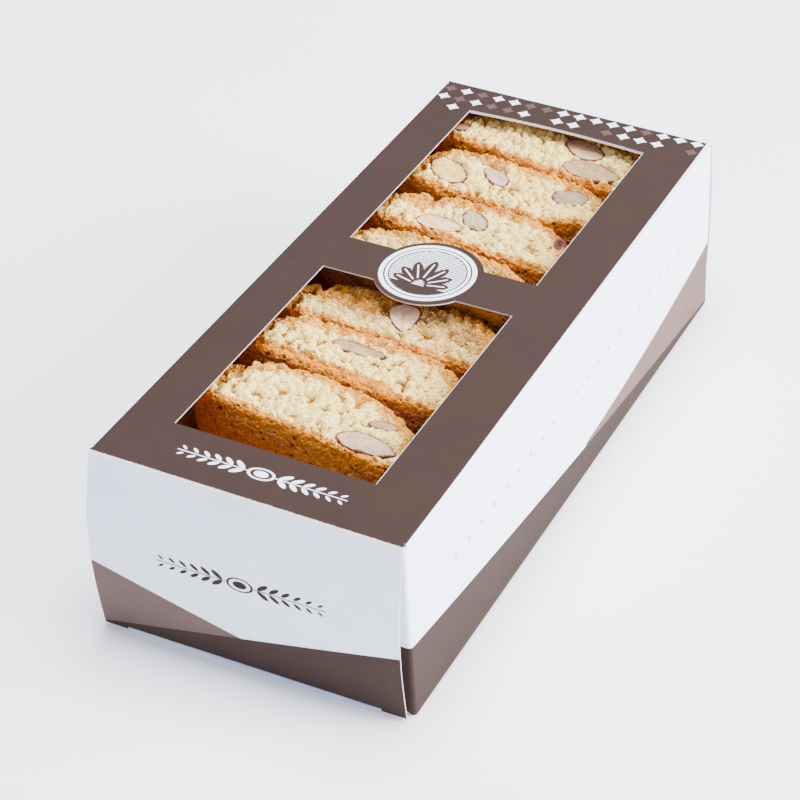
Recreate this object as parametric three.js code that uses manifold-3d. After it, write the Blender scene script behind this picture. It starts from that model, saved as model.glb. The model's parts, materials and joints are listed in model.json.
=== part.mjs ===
// A shut windowed carton of almond biscotti. Millimetres, +Z up. The origin is the middle of the
// carton's underside, +Y runs along the carton towards its rear end and +X to its right.
import * as THREE from 'three';
import { mergeVertices } from 'three/addons/utils/BufferGeometryUtils.js';
import Module from 'manifold-3d';

const wasm = await Module();
wasm.setup();

// ---- Carton ----
const BOX = { width: 100, length: 232, height: 64.5, board: 0.5, corner: 1, splay: 1.6 };
const GAP = 0.3;                       // between pieces that touch
const LAP = 1;                         // how far joined parts of the blank run into each other
const END = {                          // the panel that hinges down from the top at each end
  bow: 3.9,                            // how far its middle springs outwards
  footOut: 2,                          // how far its foot stands out from the body
  skew: 1.2,                           // the left side springs this much more, the right side less
  foldHeight: 1.15,                    // where the tuck flap turns in, just over the bottom panel
  footWidth: 8,                        // the corners left standing beside the tuck flap
  footHeight: 0.3,
  tuckDepth: 18,
  tuckTaper: 2,
  across: 6,                           // faces across and down the bowed panel
  down: 12,
};
const DUST_FLAP = { reach: 32, low: 2, high: 62, radius: 3, inset: 0.8, steps: 5 };
const BOTTOM_LIP = { out: 2.1, bow: 0.7 };   // the bottom panel's bare edge at each end
const WINDOW = {
  centre: -1.65, width: 65.9, frontStart: -95.3, frontEnd: -5.15, rearStart: 13, rearEnd: 100.6,
};
const MEDALLION = { x: -2.2, y: 5, radius: 17.5, sides: 56 };   // disc left on the bridge
const CUTTER = 5;                      // how far a cutter passes the board on each side

// ---- Biscotti ----
// A slice lies on a cut face. Its own frame: x along the slice, y from the flat bottom crust at 0
// to the domed crust, z up with the upper cut face at 0.
const SLICE = {
  length: 78, thickness: 18, centre: -8,
  tip: 0.985,                          // the slice stops at this share of its length
  endHeight: 0.16,                     // what is left of its height there
  curl: 12,                            // how late the bottom crust turns up towards the ends
  crackWidth: 1.5,
  barrel: 0.5,                         // how far the bottom crust swells between the cut faces
  cutRelief: 0.35, underRelief: 0.18, crustRelief: 0.3,
};
const LOWER = {
  layers: [36.9, 18.9], count: 8, first: -110.8, pitch: 28, centre: 1, sway: 5,
  thickness: 15.4, height: 26, turn: -3, lean: 4, peak: 2, fullness: 2.3,
};
const ALMOND = {                       // an oval cut across; its rings are [scale, depth], by width
  proud: 0.25, crown: 0.25, bottom: -0.45, around: 14,
  rings: [[1, 0], [1, -0.05], [0.86, -0.24], [0.52, -0.4]],
};
const POCKET_RISE = 3;                 // a pocket's cutter stands this far over the cut face

const almond = (x, y, length, width, turn, taper) => ({ x, y, length, width, turn, taper });

// The slices in sight, front to rear. front and top place the upper front edge, turn and lean are
// degrees, height is crust to dome, peak is where the dome is highest, fullness squares its
// shoulders, a crack splits the dome near an end, and a heel lifts the bottom crust past its x.
const TOP_ROW = [
  {
    front: -76, top: 58.5, turn: -8, lean: 2.5, height: 26.9, peak: -3, fullness: 2.5,
    crack: { x: -29.6, depth: 3.2 },
    almonds: [almond(23, 15.9, 9.4, 4.6, 14, 0.1), almond(24.4, 5.3, 20.2, 8.2, 2, 0.2)],
  },
  {
    front: -47.3, top: 58.5, turn: -7, lean: 1.5, height: 22.8, peak: 10, fullness: 3.4,
    almonds: [almond(-1.1, 14.3, 19.2, 5.6, 4, 0.1)],
  },
  {
    front: -23.6, top: 57.3, turn: -4.5, lean: 1, height: 24.6, peak: 15, fullness: 3,
    crack: { x: -27.5, depth: 4.5 },
    almonds: [almond(4, 13.2, 15.4, 9.6, -61, 0.35)],
  },
  {
    front: 4.4, top: 58.5, turn: -6, lean: 0, height: 26.8, peak: -4, fullness: 2.8,
    almonds: [],
  },
  {
    front: 33.2, top: 58.5, turn: -7, lean: 0.5, height: 25.1, peak: 12, fullness: 2.3,
    crack: { x: -18.4, depth: 4.4 },
    almonds: [
      almond(-9, 6.3, 16.8, 7.8, 4, 0.15),
      almond(0, 14, 13.6, 8, 138, 0.1),
      almond(31.2, 16.4, 6.2, 4, 118, 0),
    ],
  },
  {
    front: 59.2, top: 58, turn: -7.5, lean: 0.5, height: 26.9, peak: 2, fullness: 4.4,
    crack: { x: -33.5, depth: 2.5 }, heel: { x: 19, rise: 7 },
    almonds: [
      almond(-22.2, 10.7, 18.4, 10.6, 149, 0.1),
      almond(-6.2, 15.7, 13.6, 6.9, 150, 0.1),
      almond(22.2, 17.3, 12.4, 10.2, 12, 0),
    ],
  },
  {
    front: 88.2, top: 58.5, turn: -9.5, lean: 1, height: 26.9, peak: 26, fullness: 3,
    almonds: [
      almond(13.8, 18, 17.4, 10, 162, 0.1),
      almond(23.5, 6.8, 21, 10.2, 3, 0.15),
      almond(-30, 7.1, 6.2, 4.8, 76, 0),
    ],
  },
];

// A slice's cross-sections and the [across, up] places round each, from crust to dome and from the
// lower cut face to the upper.
const FINE = {
  stations: 27,
  ring: [[0, 0.05], [0, 0.5], [0, 0.95], [0.04, 1], [0.27, 1], [0.5, 1], [0.73, 1],
    [0.96, 1], [1, 0.93], [1, 0.5], [1, 0.06], [0.93, 0], [0.5, 0], [0.06, 0]],
};
const PLAIN = {
  stations: 9,
  ring: [[0, 0.08], [0, 0.92], [0.06, 1], [0.94, 1], [1, 0.9], [1, 0.1], [0.93, 0], [0.07, 0]],
};

// The waves that make a baked surface uneven: turns along and across, drift with seed, share.
const WAVES = [
  [0.83, 1.07, 2.7, 0.5],
  [0.83, -1.07, 0.7, 0.5],
  [0.31, -0.52, 2.9, 1],
  [1.63, 0.71, 0.6, 0.6],
];

const MATERIAL = {
  board: () => new THREE.MeshStandardMaterial({ color: 0x5f4c46, roughness: 0.6, metalness: 0 }),
  baked: () => new THREE.MeshStandardMaterial({ color: 0xe3b773, roughness: 0.95, metalness: 0 }),
  almond: () => new THREE.MeshStandardMaterial({ color: 0xd9cbb4, roughness: 0.6, metalness: 0 }),
};

// ---- Solids ----
function toSolid(geometry) {
  const bare = geometry.clone();
  bare.deleteAttribute('normal');
  bare.deleteAttribute('uv');
  const merged = mergeVertices(bare, 1e-4);
  return new wasm.Manifold(new wasm.Mesh({
    numProp: 3,
    vertProperties: Float32Array.from(merged.getAttribute('position').array),
    triVerts: Uint32Array.from(merged.getIndex().array),
  }));
}

function toGeometry(solid) {
  const mesh = solid.getMesh();
  return indexedGeometry(Array.from(mesh.vertProperties), Array.from(mesh.triVerts));
}

function indexedGeometry(positions, faces) {
  const geometry = new THREE.BufferGeometry();
  geometry.setAttribute('position', new THREE.Float32BufferAttribute(positions, 3));
  geometry.setIndex(faces);
  geometry.computeVertexNormals();
  return geometry;
}

function namedMesh(name, geometry, material) {
  const mesh = new THREE.Mesh(geometry, material);
  mesh.name = name;
  return mesh;
}

// A flat outline pushed out along one axis: 'y' takes its points as (x, z), 'z' as (x, y).
function prism(shape, axis, from, to) {
  const depth = to - from;
  const geometry = new THREE.ExtrudeGeometry(shape, { depth, bevelEnabled: false, curveSegments: 4 });
  const turn = new THREE.Matrix4();
  const x = new THREE.Vector3(1, 0, 0);
  const y = new THREE.Vector3(0, 1, 0);
  const z = new THREE.Vector3(0, 0, 1);
  if (axis === 'y') turn.makeBasis(x, z, y.clone().negate()).setPosition(0, to, 0);
  if (axis === 'z') turn.makeBasis(x, y, z).setPosition(0, 0, from);
  return geometry.applyMatrix4(turn);
}

function slab(xs, ys, zs) {
  const geometry = new THREE.BoxGeometry(xs[1] - xs[0], ys[1] - ys[0], zs[1] - zs[0]);
  return geometry.translate((xs[0] + xs[1]) / 2, (ys[0] + ys[1]) / 2, (zs[0] + zs[1]) / 2);
}

// The outline of a board seen edge on, along a line of points that runs through its middle.
function boardOutline(points, thickness) {
  const sides = [1, -1].map((side) => points.map((point, i) => {
    const before = points[Math.max(i - 1, 0)];
    const after = points[Math.min(i + 1, points.length - 1)];
    const along = after.clone().sub(before).normalize();
    return new THREE.Vector2(-along.y, along.x).multiplyScalar(side * thickness / 2).add(point);
  }));
  return new THREE.Shape([...sides[0], ...sides[1].reverse()]);
}

function roundedRectangle(width, low, high, radius) {
  const shape = new THREE.Shape();
  const half = width / 2;
  shape.moveTo(-half + radius, low);
  shape.lineTo(half - radius, low);
  shape.absarc(half - radius, low + radius, radius, -Math.PI / 2, 0);
  shape.lineTo(half, high - radius);
  shape.absarc(half - radius, high - radius, radius, 0, Math.PI / 2);
  shape.lineTo(-half + radius, high);
  shape.absarc(-half + radius, high - radius, radius, Math.PI / 2, Math.PI);
  shape.lineTo(-half, low + radius);
  shape.absarc(-half + radius, low + radius, radius, Math.PI, Math.PI * 1.5);
  return shape;
}

// ---- The carton, one folded blank ----
const halfWidth = BOX.width / 2;
const halfLength = BOX.length / 2;
const foldLine = halfLength - DUST_FLAP.radius - DUST_FLAP.inset;   // where the sides turn in

// The sides lean out a little towards the base.
function splayed(geometry) {
  const position = geometry.getAttribute('position');
  for (let i = 0; i < position.count; i += 1) {
    const down = 1 - position.getZ(i) / BOX.height;
    position.setX(i, position.getX(i) * (1 + down * BOX.splay / halfWidth));
  }
  return geometry;
}

function sleeve() {
  const { width, height, board, corner } = BOX;
  const outer = roundedRectangle(width, 0, height, corner);
  const inner = roundedRectangle(width - 2 * board, board, height - board, corner - board);
  const body = toSolid(prism(outer, 'y', -foldLine, foldLine));
  return body.subtract(toSolid(prism(inner, 'y', -foldLine - LAP, foldLine + LAP)));
}

// How far out the end panel stands at a place across it and a height: it leans out to its foot,
// bows in the middle and springs out more on its left.
function endPanelReach(x, height, skew) {
  const down = 1 - height / BOX.height;
  const spring = Math.min(1, down * 3);
  return halfLength - BOX.board / 2 + END.footOut * down + END.bow * Math.sin(Math.PI * down ** 0.9)
    - skew * spring * x / halfWidth;
}

// A closed thin sheet over a grid: middle(u, v) gives its middle surface, u and v from 0 to 1.
function sheet(middle, across, down, thickness) {
  const positions = [];
  const faces = [];
  for (const side of [1, -1]) {
    for (let i = 0; i <= across; i += 1) {
      for (let j = 0; j <= down; j += 1) {
        const point = middle(i / across, j / down);
        positions.push(point.x, point.y - side * thickness / 2, point.z);
      }
    }
  }
  const row = down + 1;
  const back = (across + 1) * row;
  for (let i = 0; i < across; i += 1) {
    for (let j = 0; j < down; j += 1) {
      const a = i * row + j;
      faces.push(a, a + 1, a + row, a + 1, a + row + 1, a + row);
      faces.push(back + a, back + a + row, back + a + 1, back + a + 1, back + a + row, back + a + row + 1);
    }
  }
  const rim = [];
  for (let i = 0; i < across; i += 1) rim.push(i * row);
  for (let j = 0; j < down; j += 1) rim.push(across * row + j);
  for (let i = across; i > 0; i -= 1) rim.push(i * row + down);
  for (let j = down; j > 0; j -= 1) rim.push(j);
  rim.forEach((a, k) => {
    const b = rim[(k + 1) % rim.length];
    faces.push(a, b, back + b, a, back + b, back + a);
  });
  return indexedGeometry(positions, faces);
}

// The front end panel with its feet and tuck flap, and the bottom panel's lip. The rear ones are the
// same but for their skew, turned half round.
function endPanel(skew) {
  const { board, height } = BOX;
  const panelHalf = halfWidth - GAP;
  const tuckHalf = halfWidth - END.footWidth;
  const footTop = END.foldHeight + LAP;
  const panel = (from, to, high, low, down) => sheet((u, v) => {
    const x = from + (to - from) * u;
    const z = high + (low - high) * v;
    return new THREE.Vector3(x, -endPanelReach(x, z, skew), z);
  }, END.across, down, board);

  const tuck = new THREE.Shape();
  tuck.moveTo(-tuckHalf, -endPanelReach(-tuckHalf, END.foldHeight, skew));
  tuck.lineTo(tuckHalf, -endPanelReach(tuckHalf, END.foldHeight, skew));
  tuck.lineTo(tuckHalf - END.tuckTaper, -halfLength + END.tuckDepth);
  tuck.lineTo(END.tuckTaper - tuckHalf, -halfLength + END.tuckDepth);
  tuck.closePath();

  const lip = new THREE.Shape();
  const lipY = -(halfLength + BOTTOM_LIP.out - BOTTOM_LIP.bow);
  lip.moveTo(-tuckHalf, -foldLine + LAP);
  lip.lineTo(-tuckHalf, lipY);
  lip.quadraticCurveTo(0, lipY - 2 * BOTTOM_LIP.bow, tuckHalf, lipY);
  lip.lineTo(tuckHalf, -foldLine + LAP);
  lip.closePath();

  return [
    panel(-panelHalf, panelHalf, height - board / 2, END.foldHeight, END.down),
    panel(-panelHalf, -tuckHalf, footTop, END.footHeight, 1),
    panel(tuckHalf, panelHalf, footTop, END.footHeight, 1),
    prism(tuck, 'z', END.foldHeight - board / 2, END.foldHeight + board / 2),
    prism(lip, 'z', 0, board),
  ];
}

// The top panel's front strip.
function topStrip() {
  return slab([-halfWidth, halfWidth], [-halfLength, -foldLine + LAP], [BOX.height - BOX.board, BOX.height]);
}

// A side panel's front end turns in round a soft fold and reaches behind the end panel.
function dustFlap(side) {
  const { radius, inset, reach, low, high, steps } = DUST_FLAP;
  const bend = radius - BOX.board / 2;
  const line = [new THREE.Vector2(side * (halfWidth - BOX.board / 2), -foldLine + LAP)];
  for (let i = 0; i <= steps; i += 1) {
    const turn = Math.PI / 2 * i / steps;
    const x = halfWidth - radius + bend * Math.cos(turn);
    line.push(new THREE.Vector2(side * x, -foldLine - bend * Math.sin(turn)));
  }
  const fold = prism(boardOutline(line, BOX.board), 'z', 0, BOX.height - BOX.board / 2);
  line.push(new THREE.Vector2(side * (halfWidth - reach), -halfLength + inset + BOX.board / 2));
  return [fold, prism(boardOutline(line, BOX.board), 'z', low, high)];
}

function windowHoles() {
  const left = WINDOW.centre - WINDOW.width / 2;
  const right = WINDOW.centre + WINDOW.width / 2;
  const heights = [BOX.height - CUTTER, BOX.height + CUTTER];
  const disc = new THREE.CylinderGeometry(MEDALLION.radius, MEDALLION.radius, 4 * CUTTER, MEDALLION.sides);
  disc.rotateX(Math.PI / 2).translate(MEDALLION.x, MEDALLION.y, BOX.height);
  return toSolid(slab([left, right], [WINDOW.frontStart, WINDOW.frontEnd], heights))
    .add(toSolid(slab([left, right], [WINDOW.rearStart, WINDOW.rearEnd], heights)))
    .subtract(toSolid(disc));
}

function carton() {
  const join = (solid, parts, turn) => (
    parts.reduce((all, part) => all.add(toSolid(part.rotateZ(turn))), solid));
  let walls = sleeve();
  for (const turn of [0, Math.PI]) walls = join(walls, [topStrip(), ...dustFlap(-1), ...dustFlap(1)], turn);
  let blank = toSolid(splayed(toGeometry(walls)));
  blank = join(blank, endPanel(END.skew), 0);
  blank = join(blank, endPanel(-END.skew), Math.PI);
  return namedMesh('carton', toGeometry(blank.subtract(windowHoles())), MATERIAL.board());
}

// ---- A biscotto ----
// Smooth uneven relief between about -1 and 1.
function relief(x, y, seed) {
  const total = WAVES.reduce((sum, wave) => sum + wave[3], 0);
  return WAVES.reduce((sum, [along, across, drift, share]) => (
    sum + share * Math.sin(x * along + y * across + seed * drift)), 0) / total;
}

function domeEdge(x, { height, peak, fullness, crack }) {
  const half = SLICE.length / 2;
  const reach = x < peak ? (x - peak) / (half + peak) : (x - peak) / (half - peak);
  const arch = (1 - Math.abs(reach) ** fullness) ** 0.5;
  const split = crack ? crack.depth * Math.exp(-(((x - crack.x) / SLICE.crackWidth) ** 2)) : 0;
  return height * (SLICE.endHeight + (1 - SLICE.endHeight) * arch) - split;
}

function baseEdge(x, { height, heel }) {
  const half = SLICE.length / 2;
  const end = Math.abs(x) / half;
  const past = heel && x > heel.x ? heel.rise * Math.sin(Math.PI / 2 * (x - heel.x) / (half - heel.x)) : 0;
  return Math.max(height * SLICE.endHeight * end ** SLICE.curl, past);
}

// Cross-sections strung along the slice, each a ring round crust and cut faces, closed at both ends.
function sliceGeometry(slice, thickness, { stations, ring }, seed) {
  const positions = [];
  const faces = [];
  for (let i = 0; i < stations; i += 1) {
    const x = SLICE.tip * SLICE.length / 2 * Math.sin(Math.PI * (i / (stations - 1) - 0.5));
    const base = baseEdge(x, slice);
    const dome = domeEdge(x, slice);
    for (const [across, up] of ring) {
      const y = base + across * (dome - base);
      const z = (up - 1) * thickness;
      const crust = SLICE.crustRelief * relief(x, z, seed + 3);
      const swell = SLICE.barrel * Math.sin(Math.PI * up) + crust;
      const out = { 0: -swell, 1: crust }[across] ?? 0;
      const onCutFace = up < 0.1 || up > 0.9;
      const rise = (up > 0.5 ? SLICE.cutRelief : SLICE.underRelief) * relief(x, y, seed);
      positions.push(x, y + out, z + (onCutFace ? rise : 0));
    }
  }
  const count = ring.length;
  for (let i = 0; i < stations - 1; i += 1) {
    for (let j = 0; j < count; j += 1) {
      const a = i * count + j;
      const d = i * count + (j + 1) % count;
      faces.push(a, a + count, d + count, a, d + count, d);
    }
  }
  for (const [first, order] of [[0, 1], [(stations - 1) * count, -1]]) {
    const centre = positions.length / 3;
    const sum = [0, 0, 0];
    for (let j = 0; j < count; j += 1) {
      for (let k = 0; k < 3; k += 1) sum[k] += positions[(first + j) * 3 + k] / count;
    }
    positions.push(...sum);
    for (let j = 0; j < count; j += 1) {
      const next = first + (j + 1) % count;
      faces.push(...(order > 0 ? [centre, first + j, next] : [centre, next, first + j]));
    }
  }
  return indexedGeometry(positions, faces);
}

// An almond cut across: a pointed oval, its cut side up at a given rise and the rest rounded under
// it. Its pocket is the same form, larger all round by grow.
function almondGeometry({ x, y, length, width, turn, taper }, rise, grow) {
  const { crown, bottom, around, rings } = ALMOND;
  const positions = [0, 0, rise + crown + grow];
  const faces = [];
  for (const [scale, depth] of rings) {
    const z = depth === 0 ? rise : depth * width - (scale < 1 ? grow : 0);
    for (let i = 0; i < around; i += 1) {
      const angle = 2 * Math.PI * i / around;
      const across = Math.sin(angle) * (width / 2 + grow) * scale * (1 - taper * Math.cos(angle));
      positions.push(Math.cos(angle) * (length / 2 + grow) * scale, across, z);
    }
  }
  positions.push(0, 0, bottom * width - grow);
  const last = positions.length / 3 - 1;
  const under = last - around;
  for (let i = 0; i < around; i += 1) {
    const next = (i + 1) % around;
    faces.push(0, 1 + i, 1 + next);
    for (let a = 1; a < under; a += around) {
      const b = a + around;
      faces.push(a + i, b + i, b + next, a + i, b + next, a + next);
    }
    faces.push(last, under + next, under + i);
  }
  return indexedGeometry(positions, faces).rotateZ(THREE.MathUtils.degToRad(turn)).translate(x, y, 0);
}

function layIn({ front, turn, lean, centre = SLICE.centre }, top) {
  const group = new THREE.Group();
  group.position.set(centre, front, top);
  group.rotation.set(-THREE.MathUtils.degToRad(lean), 0, THREE.MathUtils.degToRad(turn), 'ZYX');
  return group;
}

function topRow() {
  const row = new THREE.Group();
  let almondNumber = 0;
  TOP_ROW.forEach((slice, i) => {
    const place = layIn(slice, slice.top);
    let body = toSolid(sliceGeometry(slice, SLICE.thickness, FINE, i * 2.3 + 1));
    for (const nut of slice.almonds) {
      almondNumber += 1;
      body = body.subtract(toSolid(almondGeometry(nut, POCKET_RISE, GAP)));
      const kernel = almondGeometry(nut, ALMOND.proud, 0);
      place.add(namedMesh(`almond_${almondNumber}`, kernel, MATERIAL.almond()));
    }
    place.add(namedMesh(`biscotto_${i + 1}`, toGeometry(body), MATERIAL.baked()));
    row.add(place);
  });
  return row;
}

function lowerLayers() {
  const layers = new THREE.Group();
  LOWER.layers.forEach((top, layer) => {
    for (let i = 0; i < LOWER.count; i += 1) {
      const shift = Math.sin(i * 2.4 + layer * 1.9);
      const centre = LOWER.centre + LOWER.sway * shift;
      const slice = { ...LOWER, centre, front: LOWER.first + i * LOWER.pitch, turn: LOWER.turn + shift };
      const place = layIn(slice, top);
      const geometry = sliceGeometry(slice, LOWER.thickness, PLAIN, i + layer * LOWER.count);
      place.add(namedMesh(`lower_biscotto_${layer + 1}_${i + 1}`, geometry, MATERIAL.baked()));
      layers.add(place);
    }
  });
  return layers;
}

const pack = new THREE.Group();
pack.add(carton(), topRow(), lowerLayers());
export default pack;
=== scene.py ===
# A folded carton with windows in its top, full of sliced almond biscotti. It is dressed over the
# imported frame: metres, +Z up, +Y towards the carton's rear end, +X towards its right side. Lengths
# in the shapes below are millimetres until a finished mesh is scaled by MM.
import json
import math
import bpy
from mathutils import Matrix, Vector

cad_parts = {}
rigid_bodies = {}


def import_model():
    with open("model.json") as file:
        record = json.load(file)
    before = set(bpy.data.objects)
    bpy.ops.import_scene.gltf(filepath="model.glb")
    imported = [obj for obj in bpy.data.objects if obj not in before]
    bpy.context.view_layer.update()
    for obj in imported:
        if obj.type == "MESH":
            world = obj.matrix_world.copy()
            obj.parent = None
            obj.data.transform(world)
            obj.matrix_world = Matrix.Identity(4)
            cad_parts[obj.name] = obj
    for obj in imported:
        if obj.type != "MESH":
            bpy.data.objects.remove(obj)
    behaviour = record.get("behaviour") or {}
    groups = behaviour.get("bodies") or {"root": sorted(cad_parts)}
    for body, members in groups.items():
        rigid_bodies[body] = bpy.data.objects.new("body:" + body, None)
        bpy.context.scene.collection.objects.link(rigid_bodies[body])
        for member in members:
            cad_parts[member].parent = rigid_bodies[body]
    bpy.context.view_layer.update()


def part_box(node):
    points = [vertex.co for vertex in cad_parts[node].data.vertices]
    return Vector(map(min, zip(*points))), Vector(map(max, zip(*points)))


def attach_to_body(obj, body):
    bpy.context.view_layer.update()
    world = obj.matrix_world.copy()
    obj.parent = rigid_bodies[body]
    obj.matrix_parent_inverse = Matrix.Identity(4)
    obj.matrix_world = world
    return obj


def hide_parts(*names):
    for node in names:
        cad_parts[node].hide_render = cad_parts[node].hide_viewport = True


bl_info = {
    "name": "Windowed biscotti carton",
    "version": (1, 0, 0),
    "blender": (4, 5, 0),
    "location": "3D View > Sidebar > Biscotti",
    "description": "Builds a folded carton of sliced almond biscotti over its packed frame",
    "category": "Mesh",
}

import bmesh
import bpy
import numpy as np
from bpy.props import FloatProperty, FloatVectorProperty, IntProperty, PointerProperty
from mathutils import Matrix, Vector
from mathutils.geometry import delaunay_2d_cdt

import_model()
MM = 0.001
BODY = "root"

# ---- The carton, mm ----
CARTON_LOW, CARTON_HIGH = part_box("carton")
HEIGHT = CARTON_HIGH.z / MM
BOARD = 0.5
HALF_WIDTH = 50.0
HALF_LENGTH = 116.0
SPLAY = CARTON_HIGH.x / MM - HALF_WIDTH          # how much wider each side is at the base
CORNER = 1.0
END = {
    "bow": 3.9,
    "foot_out": 2.0,
    "skew": 1.2,
    "fold_height": 1.15,
    "foot_width": 8.0,
    "foot_height": 0.3,
    "tuck_depth": 18.0,
    "tuck_taper": 2.0,
    "crease": 0.7,
}
FLAP = {"reach": 32.0, "low": 2.0, "high": 62.0, "radius": 1.3, "inset": 0.8, "slant": 5.0}
LIP = {"out": 2.1, "bow": 0.7}
FOLD_LINE = HALF_LENGTH - FLAP["radius"] - FLAP["inset"]
WINDOW = {"centre": -1.65, "width": 65.9, "front": (-95.3, -5.15), "rear": (13.0, 100.6), "bow": 1.5}
DISC = {"x": -2.2, "y": 5.0, "radius": 17.5}
TURN_DOWN = 0.8                                  # how far the rear window's far edge is bent down
# How far the filled carton is pushed out of square, and where along x or y that starts and ends
ASKEW = {"wide": 0.7, "front": 0.5, "rear": 1.25,
         "wide_over": (36, 48), "front_over": (98, HALF_LENGTH - 3), "rear_over": (60, HALF_LENGTH - 3)}
TOP, SIDE, FACE, BASE, EDGE = 0.0, 1.0, 2.0, 3.0, 4.0   # which panel of the blank a face belongs to

# ---- The biscotti, mm ----
# A slice lies on a cut face. Its own frame: x along the slice, y from the flat bottom crust at 0
# to the domed crust, z up with the upper cut face at 0.
SLICE = {
    "length": 78.0,
    "thickness": 18.0,
    "centre": -8.0,
    "tip": 0.985,           # where along the half length the blunt ends stand
    "end_height": 0.16,     # the ends' share of the slice's height
    "curl": 12.0,           # how late the bottom crust turns up towards the ends
    "crack_width": 1.5,
    "barrel": 0.6,          # how far the bottom crust bulges halfway down
    "sole_round": 1.3,
    "dome_round": 1.3,
    "browned": -30.5,       # the tip is browned left of this x
}
CLUMP, GRAIN, GRIT = 2.6, 1.0, 0.85             # sizes of the lumps in the crumb and of those on the crust
SLICE_RINGS = 81
# How high the relief stands and how deep its holes are. Holes are given as the size of the cells that
# may hold one each, the least and the largest radius, and the share of the cells that hold one.
CRUMB = {"clump": 3.3, "swell": 0.7, "hole": 1.9, "nick": 0.8, "pit": 2.4,
         "holes": (5.4, (0.5, 1.5), 0.28), "nicks": (2.1, (0.3, 0.7), 0.45)}
CRUST = {"blister": 1.5, "sole_flatter": 0.6, "grit": 0.75, "pore": 0.8, "pores": (2.1, (0.3, 0.95), 0.5)}
# The browning of a cut face is full up to the first distance from a crust and gone at the second. Then
# come its strength at the tip, past a crack and where the crumb tore, which is partly painted shade,
# and the groove along a crack.
TOAST = {"sole_reach": (-0.6, 1.6), "dome_reach": (1.5, 6.0), "crack_reach": (5, 7.5),
         "tip": 0.75, "crack": 0.8, "torn": 0.4, "groove": 1.6, "groove_width": 0.9, "groove_reach": (3, 6)}
# A cut almond: points round it, rings over its face, how far it stands proud, its crown, and how it
# narrows below the face as (share of its outline, depth as a share of its width). Its pocket in the
# crumb reaches and sinks by shares of its width, with a gap left under it.
NUT = {"around": 144, "rings": 24, "proud": 0.1, "crown": 0.25, "groove": 0.45,
       "sides": ((1.0, -0.05), (0.97, -0.14), (0.86, -0.24), (0.7, -0.33), (0.52, -0.4), (0.27, -0.44)),
       "pocket_reach": 0.62, "pocket_depth": 0.45, "pocket_gap": 0.5}
# Lumps strewn over each square metre of the slices in sight, and the two sizes of crumb
SUGAR_PER_AREA = 160000.0
CRUMBS_PER_AREA = 450000.0
CRUMB_KINDS = (("loose_crumbs", 1.15), ("fine_crumbs", 0.8))
LUMP_SHARES = ((0.45, 0.45, 0.35), (1.25, 1.25, 0.95))   # the smallest and the largest lump against its size


def nut(x, y, length, width, turn, taper, colour, skin, lift=0.0):
    """A cut almond: its middle, size, turn in degrees, taper, colour, skin's width and how proud it is."""
    return {"x": x, "y": y, "length": length, "width": width, "turn": turn, "taper": taper,
            "colour": colour, "skin": skin, "lift": lift}
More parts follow.
